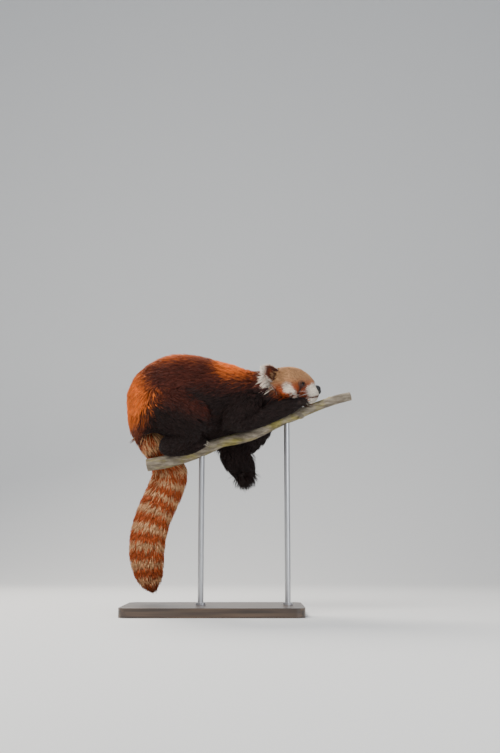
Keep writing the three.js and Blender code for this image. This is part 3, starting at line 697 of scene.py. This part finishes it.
on_head = names == "head"
back = fade(folded[:, 0], 62, -20)
cheek = spot(folded, (-2, 60, -22), (26, 26, 30), 0.5)
length[on_head] = (4.5 + 11 * back + 7 * cheek)[on_head]
width[on_head] = (0.9 + 0.8 * back + 0.3 * cheek)[on_head]
height[on_head] = (1.2 + 3 * back + 3 * cheek)[on_head]
outwards = np.array(head_place.to_3x3()) @ np.array([0, 1.0, 0])
heading[on_head] += (side_of_root[:, None] * outwards * (0.35 + 0.5 * cheek)[:, None])[on_head]

for s, _ in SIDES:
    own = (names == "ear") & (side_of_root == s)
    ear = in_place(roots, ear_place(s))
    edge = ear_edge(ear)
    axes = np.array(ear_place(s).to_3x3())
    sideways = np.sign(ear[:, 1])[:, None] * axes[:, 1]
    lower = fade(ear[:, 1] * s, 8, 20)
    length[own] = (7 + 2 * edge + 26 * edge * lower)[own]
    width[own] = (1.1 + 0.2 * edge + 0.6 * edge * lower)[own]
    height[own] = (1.5 + 0.5 * edge + 3 * edge * lower)[own]
    fringe = axes[:, 2] * 0.5 + sideways * 0.2 - axes[:, 0] * 0.7
    stream = axes[:, 2] * 0.25 + sideways - axes[:, 0] * 0.7
    lean = (edge * (1 - lower))[:, None] * fringe + (edge * lower)[:, None] * stream
    heading[own] = ((1 - edge)[:, None] * axes[:, 2] + lean)[own]

length *= 1 - 0.6 * fade(mean[:, SHARE], 0.92, 1.0) * np.isin(names, ["torso", "tail"])
heading[:, 2] -= 2 * fade(mean[:, SHARE], 0.9, 1.0) * (names == "torso")
heading += chance.normal(0, 0.13, heading.shape)
heading -= root_normals * (heading * root_normals).sum(1, keepdims=True)
heading = unit(heading)
length *= chance.uniform(0.78, 1.15, len(roots))
height *= chance.uniform(0.75, 1.15, len(roots))
width *= chance.uniform(0.8, 1.15, len(roots))
print("tufts", round(float(length.mean()), 1), "mm long on the mean")

# %% [markdown]
# ## Laying the tufts down
# A straight tuft would stand off a rounded back. Its end is brought back to the skin below it and then lifted
# by the height of the coat, and a share of the tips leans towards a neighbour's, which makes the locks.

# %% Land the tips and make locks
ROOT_DEPTH = 1.4
LOCK_REACH = 8
reach = roots + heading * length[:, None]
landing, landing_normal = reach.copy(), root_normals * 0.4
for i, p in enumerate(reach):
    _, j, away = skin_tree.find(p)
    if away < 0.55 * length[i] and skin_normals[j] @ root_normals[i] > -0.1:
        off = reach[i] - skin_points[j]
        landing[i] = reach[i] - skin_normals[j] * (off @ skin_normals[j])
        landing_normal[i] = skin_normals[j]
tips = landing + landing_normal * height[:, None]

centre_of = tree_of(tips[::11])
pull = chance.uniform(0.1, 0.5, len(roots))
for i, p in enumerate(tips):
    target, _, away = centre_of.find(p)
    if away < 0.5 * length[i]:
        tips[i] += (np.array(target) - p) * pull[i] * min(1, LOCK_REACH / max(away, 1))
starts = roots - root_normals * ROOT_DEPTH
bends = (starts + tips) / 2 + unit(root_normals + landing_normal) * (height * 0.5)[:, None]
print("tips", round(float(np.linalg.norm(tips - roots, axis=1).mean()), 1), "mm from their roots")

# %% [markdown]
# ## One mesh from all the tufts of a region
# Tens of thousands of separate objects would be slow, so the points and faces of a whole region are worked
# out as arrays and become one mesh. Each tuft also gets a small patch on the map, at the place of its root.

# %% Blades from arrays
# place along the tuft, and its width there as a share of the full width
BLADE_LONG = ((0.0, 0.7), (0.42, 1.0), (0.76, 0.62))
BLADE_SHORT = ((0.0, 0.8), (0.5, 0.95))
PATCH = 0.003


def blades(name, chosen, rings, masks):
    """One mesh of all the chosen tufts, each with the masks of its root and its own spot on the map."""
    p0, p1, p2 = starts[chosen], bends[chosen], tips[chosen]
    wide, over = width[chosen], root_normals[chosen]
    n, points, along_tuft, across = len(chosen), [], [], []
    for share, spread in rings:
        middle = (1 - share) ** 2 * p0 + 2 * share * (1 - share) * p1 + share**2 * p2
        tangent = unit(2 * (1 - share) * (p1 - p0) + 2 * share * (p2 - p1) + 1e-9)
        side = unit(np.cross(over, tangent))
        rise = np.cross(tangent, side)
        half = (wide * spread / 2)[:, None]
        for s, r in ((1, -0.3), (0, 0.34), (-1, -0.3)):
            points.append(middle + side * half * s + rise * half * r)
            along_tuft.append(share)
            across.append(s)
    points.append(p2)
    along_tuft.append(1.0)
    across.append(0)
    each = len(points)
    vertices = np.stack(points, 1).reshape(-1, 3) * MM
    faces = [(0, 1, 2)]
    for k in range(len(rings) - 1):
        for a, b in ((0, 1), (1, 2), (2, 0)):
            faces.append((3 * k + a, 3 * k + 3 + a, 3 * k + 3 + b, 3 * k + b))
    last = 3 * (len(rings) - 1)
    faces += [(last, each - 1, last + 1), (last + 1, each - 1, last + 2), (last + 2, each - 1, last)]
    sizes = np.tile([len(f) for f in faces], n)
    corners = (np.concatenate(faces)[None] + each * np.arange(n)[:, None]).ravel()
    mesh = bpy.data.meshes.new(name)
    mesh.vertices.add(len(vertices))
    mesh.vertices.foreach_set("co", vertices.ravel())
    mesh.loops.add(len(corners))
    mesh.loops.foreach_set("vertex_index", corners)
    mesh.polygons.add(len(sizes))
    mesh.polygons.foreach_set("loop_start", np.concatenate([[0], np.cumsum(sizes)[:-1]]))
    mesh.polygons.foreach_set("use_smooth", np.ones(len(sizes), bool))
    mesh.update(calc_edges=True)
    spread_uv = np.stack([np.array(across) * PATCH / 2, (np.array(along_tuft) - 0.5) * PATCH], 1)
    uv = (root_uv[chosen][:, None] + spread_uv[None]).reshape(-1, 2)
    mesh.uv_layers.new(name="OFBake").uv.foreach_set("vector", uv[corners].ravel())
    piece = bpy.data.objects.new(name, mesh)
    bpy.context.collection.objects.link(piece)
    spread_masks = {k: np.repeat(v[chosen], each) for k, v in masks.items()}
    keep_masks(piece, spread_masks | dict(tip=np.tile(along_tuft, n)))
    print(name, n, "tufts,", n * (len(corners) // n - 2 * len(faces)), "triangles")
    return piece


stray = np.select([on_head | (names == "ear"), names == "tail"], [0.8, 1.5], 6.0)
root_masks = masks_with_painted_light(roots + chance.normal(0, 1, roots.shape) * stray[:, None])
clouds = np.array([noise.noise(p / 15) for p in roots])
root_masks["tone"] = np.clip(chance.normal(0.5, 0.17, len(roots)) + 0.35 * clouds, 0, 1)
upper = mean[:, ABOVE] > 0.1
first_half = mean[:, SHARE] < 0.5
front = roots[:, 0] > -60
right = roots[:, 1] < 0
is_torso, is_tail = names == "torso", names == "tail"
fore = np.char.find(names.astype(str), "arm") >= 0
hind = np.isin(names, ["thigh", "shank", "foot"])
GROUPS = {
    "coat_face": (on_head, BLADE_SHORT), "coat_ears": (names == "ear", BLADE_LONG),
    "coat_neck": (names == "neck", BLADE_LONG), "coat_rump": (is_torso & upper & ~front, BLADE_LONG),
    "coat_back": (is_torso & upper & front, BLADE_LONG), "coat_flanks": (is_torso & ~upper, BLADE_LONG),
    "coat_hindleg_right": (hind & right, BLADE_LONG), "coat_hindleg_left": (hind & ~right, BLADE_LONG),
    "coat_foreleg_right": (fore & right, BLADE_LONG), "coat_foreleg_left": (fore & ~right, BLADE_LONG),
    "coat_tail_upper": (is_tail & first_half, BLADE_LONG),
    "coat_tail_lower": (is_tail & ~first_half, BLADE_LONG),
}
coats = [blades(name, np.flatnonzero(which), rings, root_masks) for name, (which, rings) in GROUPS.items()]

# %% [markdown]
# ## Eyes
# The eyes are glass in a museum model: a dark ball with a slight bulge over the iris, deep between the lids.
# A ball whose pole faces the way the eye looks gives the iris its rings from the ball's own map.

# %% Eyes
BULGE = 0.5
eyes = []
for s, name in SIDES:
    gaze = head_place.to_3x3() @ gaze_of(s)
    middle = head_place @ eye_middle(s)
    turn = gaze.to_track_quat("Z", "Y").to_euler()
    bpy.ops.object.select_all(action="DESELECT")
    bpy.ops.mesh.primitive_uv_sphere_add(
        segments=48, ring_count=32, radius=EYE_RADIUS * MM, location=middle * MM, rotation=turn)
    ball = settled("eyeball_" + name, bpy.context.object)
    for v in ball.data.vertices:
        facing = (v.co / MM - middle).normalized() @ gaze
        v.co += gaze * (BULGE * MM * max(0.0, (facing - 0.72) / 0.28))
    eyes.append(smoothed(ball))
print("eyes", [round(v, 4) for v in eyes[0].dimensions])

# %% [markdown]
# ## The nose
# A nose pad is bare, pebbled skin: a broad upper lobe, a narrower one below it and two comma-shaped nostrils.
# Two lumps melted together and then cut give that in a few steps.

# %% Nose
nose = joined("nose_pad", [lump("nose_top", (69.5, 0, -26.5), (10.6, 12.7, 9.6), place=head_place),
                           lump("nose_base", (71.5, 0, -33), (8, 7.2, 8.2), place=head_place)])
finish_with(nose, "REMESH", mode="VOXEL", voxel_size=0.55 * MM)
finish_with(nose, "SMOOTH", factor=0.5, iterations=6)
for s in (-1, 1):
    cut_from(nose, lump("nostril", (79.6, 5.6 * s, -28), (4.6, 2.6, 2.7), (0.5 * s, 0, 0.25 * s), head_place),
             lump("nostril_slit", (77, 9.3 * s, -29.8), (4.2, 3.2, 1.0), (0.4 * s, 0, 0.5 * s), head_place))
cut_from(nose, lump("groove", (81.5, 0, -33), (2.4, 0.7, 7), place=head_place))
smoothed(nose)
print("nose", len(nose.data.polygons), "faces")

# %% [markdown]
# ## Claws
# Each toe carries a pale, curved claw. One is drawn out of a small disc by extruding, turning and narrowing,
# and the rest are copies of it set on the other toes.

# %% Claws
def first_claw():
    bpy.ops.object.select_all(action="DESELECT")
    bpy.ops.mesh.primitive_circle_add(vertices=12, radius=2.5 * MM, fill_type="NGON", location=(0, 0, 0))
    piece = bpy.context.object
    edit(piece)
    bpy.ops.mesh.select_all(action="SELECT")
    turned = 0.0
    for k in range(6):
        lean = Vector((math.sin(turned), 0, math.cos(turned))) * (2.7 * MM)
        bpy.ops.mesh.extrude_region_move(TRANSFORM_OT_translate={"value": lean})
        piece.update_from_editmode()
        chosen = [piece.matrix_world @ v.co for v in piece.data.vertices if v.select]
        centre = sum(chosen, Vector()) / len(chosen)
        bpy.ops.transform.resize(value=(0.78, 0.78, 0.78), center_override=centre)
        bpy.ops.transform.rotate(value=0.17, orient_axis="Y", center_override=centre)
        turned += 0.17
    bpy.ops.mesh.merge(type="CENTER")
    bpy.ops.mesh.select_all(action="SELECT")
    bpy.ops.mesh.normals_make_consistent(inside=False)
    done()
    return piece


claw = first_claw()
curl = math.copysign(1, sum(v.co.x for v in claw.data.vertices))
claws = []
for paw in PAWS:
    for root, forward in toe_roots(paw):
        down = Vector((-1, 0, -0.3) if paw == "foreleg_left" else (0, 0, -1))
        down = (down - forward * down.dot(forward)).normalized()
        axes = Matrix((down * curl, forward.cross(down) * curl, forward))
        copy = claw.copy()
        copy.data = claw.data.copy()
        bpy.context.collection.objects.link(copy)
        copy.matrix_world = Matrix.Translation((root + forward * 5) * MM) @ axes.transposed().to_4x4()
        claws.append(copy)
bpy.data.objects.remove(claw, do_unlink=True)
claws = smoothed(joined("claws", claws), turn_out=True)
print("claws", [round(v, 3) for v in claws.dimensions])

# %% [markdown]
# ## Whiskers
# Whiskers are fine tapered hairs that curve back from the pads of the muzzle, the brow and the cheek.
# They are thin tubes, built from arrays as the tufts are, and stay a piece of their own.

# %% Whiskers
WHISKER_RADIUS = 0.24


def whiskers(name, hairs):
    """Tubes of five sides from (root, heading, length, droop) in the frame of the head, as one mesh."""
    vertices, faces, sag = [], [], Vector((-0.25, 0, -1))
    for root, heading, long, droop in hairs:
        heading = Vector(heading).normalized()
        side = heading.cross(Vector((0, 0, 1))).normalized()
        rise = side.cross(heading)
        first = len(vertices)
        for k in range(7):
            share = k / 7
            centre = Vector(root) + heading * long * share + sag * droop * share * share
            radius = WHISKER_RADIUS * (1 - share) ** 0.7
            for a in range(5):
                turn = 2 * math.pi * a / 5
                vertices.append(centre + side * math.cos(turn) * radius + rise * math.sin(turn) * radius)
        vertices.append(Vector(root) + heading * long + sag * droop)
        for k in range(6):
            for a in range(5):
                b = (a + 1) % 5
                lower, upper = first + 5 * k, first + 5 * k + 5
                faces.append((lower + a, lower + b, upper + b, upper + a))
        faces += [(first + 30 + a, first + 30 + (a + 1) % 5, first + 35) for a in range(5)]
        faces.append(tuple(first + a for a in (4, 3, 2, 1, 0)))
    mesh = bpy.data.meshes.new(name)
    mesh.from_pydata([(head_place @ v) * MM for v in vertices], [], faces)
    piece = bpy.data.objects.new(name, mesh)
    bpy.context.collection.objects.link(piece)
    return smoothed(piece, turn_out=True)


draw = np.random.default_rng(7)
hairs = []
for s, _ in SIDES:
    for k in range(13):
        row, place = divmod(k, 5)
        root = (62 - 4.5 * place, s * (16 + 1.6 * place), -32 - 4.2 * row)
        heading = (-0.1 - 0.16 * place, s * (1 + 0.1 * row), 0.15 - 0.3 * row + draw.normal(0, 0.06))
        hairs.append((root, heading, draw.uniform(34, 58), draw.uniform(3, 9)))
    for k in range(3):
        hairs.append(((34 - 3 * k, s * (25 + 3 * k), 6), (0.1, s * 0.5, 0.8), draw.uniform(18, 26), 2))
        hairs.append(((16 - 4 * k, s * 54, -26), (-0.4, s, -0.1), draw.uniform(24, 34), 4))
whisker_piece = whiskers("whiskers", hairs)
print(len(hairs), "whiskers")

# %% [markdown]
# ## The perch
# The branch is a cut length of dry wood: bark with shallow furrows, a few knots and two sawn ends.
# A lofted core with knots melted in is pushed in and out along its normals by noise, as a chisel would.

# %% Branch
branch_form = Form([tuple(row) for row in BRANCH], (0, 0), 0)
branch_form.reach = np.repeat(BRANCH[:, 3:4], 3, axis=1) - 0.4
knots = [(-92, -12, 380, 9), (30, 8, 426, 8), (146, -9, 452, 8), (286, 5, 522, 8), (214, -8, 476, 7)]
perch = joined("perch_wood", [loft("wood", branch_form, 60, 32)]
               + [lump("knot", k[:3], (k[3] * 1.3, k[3] * 0.8, k[3] * 0.8), (0, -0.35, 0)) for k in knots])
finish_with(perch, "REMESH", mode="VOXEL", voxel_size=1.5 * MM)
ends = [Vector(BRANCH[0, :3]), Vector(BRANCH[-1, :3])]
core = along_curve(BRANCH[:, :3], np.linspace(0, 1, 400))
points = read(perch.data.vertices, "co", 3) / MM
normals = read(perch.data.vertices, "normal", 3)
nearest = np.array([((core - p) ** 2).sum(1).argmin() for p in points])
radial = points - core[nearest]
away = np.linalg.norm(radial, axis=1)
sawn = ((nearest == 0) | (nearest == 399)) & (np.abs(normals[:, 0]) > 0.8)
around = np.arctan2(radial[:, 2], radial[:, 1])
along = nearest / 399 * 520
push = np.empty(len(points))
for i in range(len(points)):
    a, l = around[i], along[i]
    furrow = noise.noise((6 * math.cos(a), 6 * math.sin(a), l * 0.03))
    lumps = noise.noise((1.5 * math.cos(a), 1.5 * math.sin(a), l * 0.02 + 9))
    flakes = noise.noise((12 * math.cos(a), 12 * math.sin(a), l * 0.16 + 30))
    push[i] = 0.8 * lumps - 1.1 * max(0.0, furrow) ** 0.6 + 0.35 * flakes
push[sawn] = 0
perch.data.vertices.foreach_set("co", ((points + normals * push[:, None]) * MM).ravel())
keep_masks(perch, dict(sawn=sawn.astype(float), pith=away / 15, around=around, along=along / 520))
perch.data.update()
smoothed(perch)
print("perch", len(perch.data.polygons), "faces", int(sawn.sum()), "points on the sawn ends")

# %% [markdown]
# ## Node groups that more than one material uses
# A group turns the masks into the colour of the coat, painted sunlight and shade included, so that skin and
# tufts can't drift apart.

# %% The coat's colours
def nodes_of(tree):
    """An emptied tree's add and link. Settings named as inputs set those, and others set the node itself."""
    tree.nodes.clear()

    def add(kind, **settings):
        node = tree.nodes.new(kind)
        for name, value in settings.items():
            if name in node.inputs.keys():
                node.inputs[name].default_value = value
            else:
                setattr(node, name, value)
        return node

    return add, tree.links.new


def mixed(add, link, factor, first, second):
    """A colour mix. Each of the three is a socket or a value."""
    node = add("ShaderNodeMix", data_type="RGBA")
    for socket, value in zip((node.inputs[0], node.inputs[6], node.inputs[7]), (factor, first, second)):
        if isinstance(value, bpy.types.NodeSocket):
            link(value, socket)
        elif socket.type == "RGBA":
            socket.default_value = (*value, 1)
        else:
            socket.default_value = value
    return node.outputs[2]


def attribute(add, name):
    return add("ShaderNodeAttribute", attribute_name=name).outputs["Fac"]


def new_group(name, outputs, inputs=()):
    """An empty group with its sockets, each (name, kind)."""
    tree = bpy.data.node_groups.new(name, "ShaderNodeTree")
    for socket, kind in inputs:
        tree.interface.new_socket(socket, in_out="INPUT", socket_type=kind)
    for socket, kind in outputs:
        tree.interface.new_socket(socket, in_out="OUTPUT", socket_type=kind)
    return tree


# The bright orange is painted sunlight and the deep maroon is painted shade; the other colours are the coat's
# own.
RUST, SUNLIGHT_TINT, GINGER = (0.38, 0.075, 0.018), (0.80, 0.18, 0.025), (0.46, 0.25, 0.12)
BUFF, TEAR, DARK, CREAM = (0.60, 0.33, 0.16), (0.085, 0.022, 0.012), (0.015, 0.007, 0.006), (0.86, 0.78, 0.66)
SHADE_TINT = (0.075, 0.016, 0.009)

coat_colour_and_light_group = new_group("coat_colour_and_painted_light", [("Color", "NodeSocketColor")])
add, link = nodes_of(coat_colour_and_light_group)
colour = RUST
# Painted sunlight and painted shade are mixed in here with the real markings.
for mask, tint in (("painted_sunlight", SUNLIGHT_TINT), ("painted_shade", SHADE_TINT), ("ring", BUFF), ("ginger", GINGER), ("tear", TEAR),
                   ("dark", DARK), ("white", CREAM)):
    colour = mixed(add, link, attribute(add, mask), colour, tint)
tip, tone = attribute(add, "tip"), attribute(add, "tone")
deep = mixed(add, link, 0.6, colour, (0.03, 0.012, 0.008))
ramp = add("ShaderNodeMapRange", **{"From Min": 0.0, "From Max": 0.6, "To Min": 0.0, "To Max": 1.0})
link(tip, ramp.inputs["Value"])
colour = mixed(add, link, ramp.outputs[0], deep, colour)
bright = add("ShaderNodeMapRange", **{"From Min": 0.0, "From Max": 1.0, "To Min": 0.55, "To Max": 1.5})
link(tone, bright.inputs["Value"])
scaled = add("ShaderNodeMix", data_type="RGBA", blend_type="MULTIPLY")
scaled.inputs[0].default_value = 1
link(colour, scaled.inputs[6])
link(bright.outputs[0], scaled.inputs[7])
out = add("NodeGroupOutput")
link(scaled.outputs[2], out.inputs[0])


# %% [markdown]
# ## Fur and skin
# Hair is dry and scatters light, so the coat is rough with a faint sheen, and the skin under it only fills
# the gaps. Constant values go straight on the shader, where they are easy to find.

# %% Fur and skin
def new_material(name, **constants):
    """A material and its shader, with the shader's values set. An underscore stands for a space."""
    material = bpy.data.materials.new(name)
    material.use_nodes = True
    add, link = nodes_of(material.node_tree)
    output = add("ShaderNodeOutputMaterial")
    shader = add("ShaderNodeBsdfPrincipled")
    link(shader.outputs[0], output.inputs["Surface"])
    for key, value in constants.items():
        shader.inputs[key.replace("_", " ")].default_value = value
    return material, add, link, shader


def wear(piece, material):
    piece.data.materials.clear()
    piece.data.materials.append(material)


fur, add, link, shader = new_material(
    "panda_fur", Roughness=0.62, Specular_IOR_Level=0.18, Sheen_Weight=0.03, Sheen_Roughness=0.4)
look = add("ShaderNodeGroup", node_tree=coat_colour_and_light_group)
link(look.outputs["Color"], shader.inputs["Base Color"])

hide, add, link, shader = new_material("panda_skin", Roughness=0.8)
look = add("ShaderNodeGroup", node_tree=coat_colour_and_light_group)
link(look.outputs["Color"], shader.inputs["Base Color"])
where = add("ShaderNodeTexCoord")
hairs = add("ShaderNodeTexNoise", Scale=900.0, Detail=3.0)
link(where.outputs["Object"], hairs.inputs["Vector"])
bump = add("ShaderNodeBump", Strength=0.6, Distance=0.0008)
link(hairs.outputs["Fac"], bump.inputs["Height"])
link(bump.outputs[0], shader.inputs["Normal"])

wear(skin, hide)
for piece in coats:
    wear(piece, fur)
print("fur on", len(coats), "coat pieces")

# %% [markdown]
# ## Finishes of the small pieces
# Each material starts from one question: what is it, and what does light do on it? Wet glass, pebbled skin,
# horn, hair, bark, oiled wood and brushed steel each answer it in another way.

# %% Roughening shared by wood, bark, horn, hair and steel
grain_group = new_group("uneven_surface", [("Value", "NodeSocketFloat"), ("Normal", "NodeSocketVector")],
                        [("Stretch", "NodeSocketVector"), ("Scale", "NodeSocketFloat"),
                         ("Depth", "NodeSocketFloat")])
add, link = nodes_of(grain_group)
given = add("NodeGroupInput")
where = add("ShaderNodeTexCoord")
spread_out = add("ShaderNodeVectorMath", operation="MULTIPLY")
link(where.outputs["Object"], spread_out.inputs[0])
link(given.outputs["Stretch"], spread_out.inputs[1])
cloud = add("ShaderNodeTexNoise", Detail=6.0, Roughness=0.6)
link(spread_out.outputs[0], cloud.inputs["Vector"])
link(given.outputs["Scale"], cloud.inputs["Scale"])
relief = add("ShaderNodeBump", Strength=1.0)
link(given.outputs["Depth"], relief.inputs["Distance"])
link(cloud.outputs["Fac"], relief.inputs["Height"])
out = add("NodeGroupOutput")
link(cloud.outputs["Fac"], out.inputs["Value"])
link(relief.outputs[0], out.inputs["Normal"])


def uneven(add, stretch, scale, depth):
    node = add("ShaderNodeGroup", node_tree=grain_group)
    node.inputs["Stretch"].default_value = stretch
    node.inputs["Scale"].default_value = scale
    node.inputs["Depth"].default_value = depth
    return node


def ramped(add, link, value, stops):
    """A colour ramp with (place, colour) stops."""
    node = add("ShaderNodeValToRGB")
    link(value, node.inputs["Fac"])
    marks = node.color_ramp.elements
    for k, (place, colour) in enumerate(stops):
        mark = marks[k] if k < 2 else marks.new(place)
        mark.position = place
        mark.color = (*colour, 1)
    return node.outputs["Color"]


def grained(name, stretch, scale, depth, stops, **constants):
    """A material whose colour and relief both come from one uneven grain."""
    material, add, link, shader = new_material(name, **constants)
    grain = uneven(add, stretch, scale, depth)
    link(ramped(add, link, grain.outputs["Value"], stops), shader.inputs["Base Color"])
    link(grain.outputs["Normal"], shader.inputs["Normal"])
    return material


print("groups", [group.name for group in bpy.data.node_groups])

# %% [markdown]
# ## Eyes, nose, claws and whiskers
# The eye is glass over a brown iris with a round pupil. The nose is moist skin with fine pebbles, and claws
# and whiskers are pale horn and hair with a grain along them.

# %% Eyes, nose, claws and whiskers
glass, add, link, shader = new_material("eye_glass", Roughness=0.08, IOR=1.38)
own = add("ShaderNodeUVMap", uv_map="UVMap")
parts = add("ShaderNodeSeparateXYZ")
link(own.outputs["UV"], parts.inputs[0])
streak = add("ShaderNodeTexNoise", Scale=30.0, Detail=4.0)
link(own.outputs["UV"], streak.inputs["Vector"])
iris = ramped(add, link, streak.outputs["Fac"], [(0.35, (0.035, 0.012, 0.005)), (0.65, (0.11, 0.042, 0.014))])
rim = ramped(add, link, parts.outputs["Y"], [(0.70, (0, 0, 0)), (0.735, (1, 1, 1))])
pupil = ramped(add, link, parts.outputs["Y"], [(0.862, (0, 0, 0)), (0.872, (1, 1, 1))])
colour = mixed(add, link, rim, (0.012, 0.006, 0.005), iris)
link(mixed(add, link, pupil, colour, (0.002, 0.002, 0.002)), shader.inputs["Base Color"])
for ball in eyes:
    wear(ball, glass)

leather, add, link, shader = new_material("nose_leather", Roughness=0.32)
pebble = add("ShaderNodeTexVoronoi", Scale=1100.0)
where = add("ShaderNodeTexCoord")
link(where.outputs["Object"], pebble.inputs["Vector"])
relief = add("ShaderNodeBump", Strength=0.5, Distance=0.0003)
link(pebble.outputs["Distance"], relief.inputs["Height"])
link(relief.outputs[0], shader.inputs["Normal"])
blacks = [(0.0, (0.020, 0.018, 0.019)), (0.7, (0.006, 0.005, 0.006))]
link(ramped(add, link, pebble.outputs["Distance"], blacks), shader.inputs["Base Color"])
wear(nose, leather)

wear(claws, grained("claw_horn", (40, 40, 400), 6.0, 0.00015,
                    [(0.3, (0.55, 0.46, 0.34)), (0.7, (0.80, 0.73, 0.60))], Roughness=0.35))
wear(whisker_piece, grained("whisker_hair", (1, 1, 1), 60.0, 0.0,
                            [(0.3, (0.62, 0.60, 0.56)), (0.7, (0.85, 0.83, 0.80))], Roughness=0.4))
print("materials", len(bpy.data.materials))

# %% [markdown]
# ## Bark and sawn ends
# Dry bark is grey-brown in the furrows and paler on the ridges, with moss in patches. The sawn ends are pale
# wood with year rings. A mask made with the branch says where the saw went through.

# %% Bark and sawn ends
bark, add, link, shader = new_material("branch_bark", Roughness=0.85)
coarse = uneven(add, (0.28, 1, 1), 120.0, 0.0009)
patches = uneven(add, (0.5, 1, 1), 22.0, 0.0)
grey = ramped(add, link, coarse.outputs["Value"],
              [(0.30, (0.055, 0.042, 0.030)), (0.52, (0.20, 0.165, 0.120)), (0.72, (0.38, 0.33, 0.25))])
moss = ramped(add, link, coarse.outputs["Value"], [(0.35, (0.10, 0.085, 0.02)), (0.7, (0.36, 0.30, 0.09))])
mossy = ramped(add, link, patches.outputs["Value"], [(0.50, (0, 0, 0)), (0.62, (1, 1, 1))])
outer = mixed(add, link, mossy, grey, moss)
circles = add("ShaderNodeMath", operation="SINE")
times = add("ShaderNodeMath", operation="MULTIPLY")
times.inputs[1].default_value = 60
link(attribute(add, "pith"), times.inputs[0])
link(times.outputs[0], circles.inputs[0])
wood = ramped(add, link, circles.outputs[0], [(0.0, (0.50, 0.35, 0.19)), (1.0, (0.66, 0.50, 0.31))])
link(mixed(add, link, attribute(add, "sawn"), outer, wood), shader.inputs["Base Color"])
link(coarse.outputs["Normal"], shader.inputs["Normal"])
wear(perch, bark)
print("bark on", perch.name)

# %% [markdown]
# ## Base and rods
# Base and rods come straight from the frame and keep their shape. They only get a finish: dark wood with a
# thin lacquer, and steel brushed along its length.

# %% Base and rods
browns = [(0.32, (0.020, 0.012, 0.008)), (0.52, (0.060, 0.036, 0.022)), (0.72, (0.110, 0.068, 0.040))]
lacquered = grained("base_lacquered_wood", (0.6, 14, 14), 9.0, 0.00025, browns,
                    Roughness=0.42, Coat_Weight=0.35, Coat_Roughness=0.2)
steel = grained("rod_brushed_steel", (1, 1, 0.02), 900.0, 0.00003,
                [(0.3, (0.42, 0.42, 0.43)), (0.7, (0.62, 0.62, 0.63))], Metallic=1.0, Roughness=0.34)
for node_name, finish in (("stand_base", lacquered), ("stand_rod_rear", steel), ("stand_rod_front", steel)):
    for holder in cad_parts[node_name].material_slots:
        holder.material = finish
    print(node_name, "in", finish.name)

# %% [markdown]
# ## The camera, the lights and the stage
# The camera stands low and looks up by ten degrees, as in the photo, and its lens gives the same framing.
# Three large soft lamps and a pale floor that runs up into the backdrop light the model without hard edges.

# %% The camera, the lights and the stage
camera_data = bpy.data.cameras.new("camera")
camera = bpy.data.objects.new("camera", camera_data)
bpy.context.collection.objects.link(camera)
TILT = math.radians(10)
camera.location = (0.0875, -2.364, 0.162)
camera.rotation_euler = (math.radians(90) + TILT, 0, 0)
camera_data.sensor_width = 36
camera_data.lens = 45.9
bpy.context.scene.camera = camera


def softbox(name, location, aim, size, power, colour=(1, 1, 1)):
    data = bpy.data.lights.new(name, "AREA")
    data.shape, data.size, data.energy, data.color = "DISK", size, power, colour
    lamp = bpy.data.objects.new(name, data)
    bpy.context.collection.objects.link(lamp)
    lamp.location = location
    lamp.rotation_euler = (Vector(location) - Vector(aim)).to_track_quat("Z", "Y").to_euler()


softbox("key", (-0.9, -1.5, 2.3), (0, 0, 0.5), 1.4, 70, (1, 0.96, 0.9))
softbox("crown", (-0.7, 1.1, 2.0), (-0.05, 0, 0.55), 1.0, 60, (1, 0.93, 0.84))
softbox("fill", (1.7, -2.0, 0.9), (0, 0, 0.45), 1.8, 26, (0.9, 0.95, 1))
world = bpy.context.scene.world or bpy.data.worlds.new("world")
bpy.context.scene.world = world
world.use_nodes = True
sky = world.node_tree.nodes["Background"]
sky.inputs[0].default_value = (0.9, 0.93, 1, 1)
sky.inputs[1].default_value = 0.5

bpy.ops.object.select_all(action="DESELECT")
bpy.ops.mesh.primitive_plane_add(size=12, location=(0, -3, 0))
floor = settled("floor", bpy.context.object)
edit(floor)
bpy.ops.mesh.select_mode(type="EDGE")
bpy.ops.mesh.select_all(action="DESELECT")
done()
for e in floor.data.edges:
    e.select = all(floor.data.vertices[v].co.y > 2.9 for v in e.vertices)
bpy.ops.object.mode_set(mode="EDIT")
bpy.ops.mesh.extrude_region_move(TRANSFORM_OT_translate={"value": (0, 0, 6)})
done()
finish_with(floor, "BEVEL", width=1.2, segments=12, limit_method="ANGLE")
bpy.ops.object.shade_smooth()
paper, add, link, shader = new_material("studio_paper", Base_Color=(0.74, 0.75, 0.75, 1), Roughness=0.9)
wear(floor, paper)
print("camera at", tuple(round(v, 3) for v in camera.location), "lens", round(camera_data.lens, 1))

# %% [markdown]
# ## Handing the pieces over
# Each piece is tied to the one body and given the slot of its finish, and the skin takes the place of the
# twelve nodes of flesh, as the new eyes, nose and perch take the places of theirs.

# %% Hand the pieces over
FLESH = ["torso", "neck", "head", "ear_left", "ear_right", "foreleg_left", "foreleg_right", "hindleg_left",
         "hindleg_right", "tail_root", "tail_middle", "tail_end"]
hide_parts(*FLESH)
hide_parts("eye_right")
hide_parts("eye_left")
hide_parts("nose")
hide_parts("perch_branch")
for piece in [skin, *coats, *eyes, nose, claws, whisker_piece, perch]:
    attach(piece, "root")
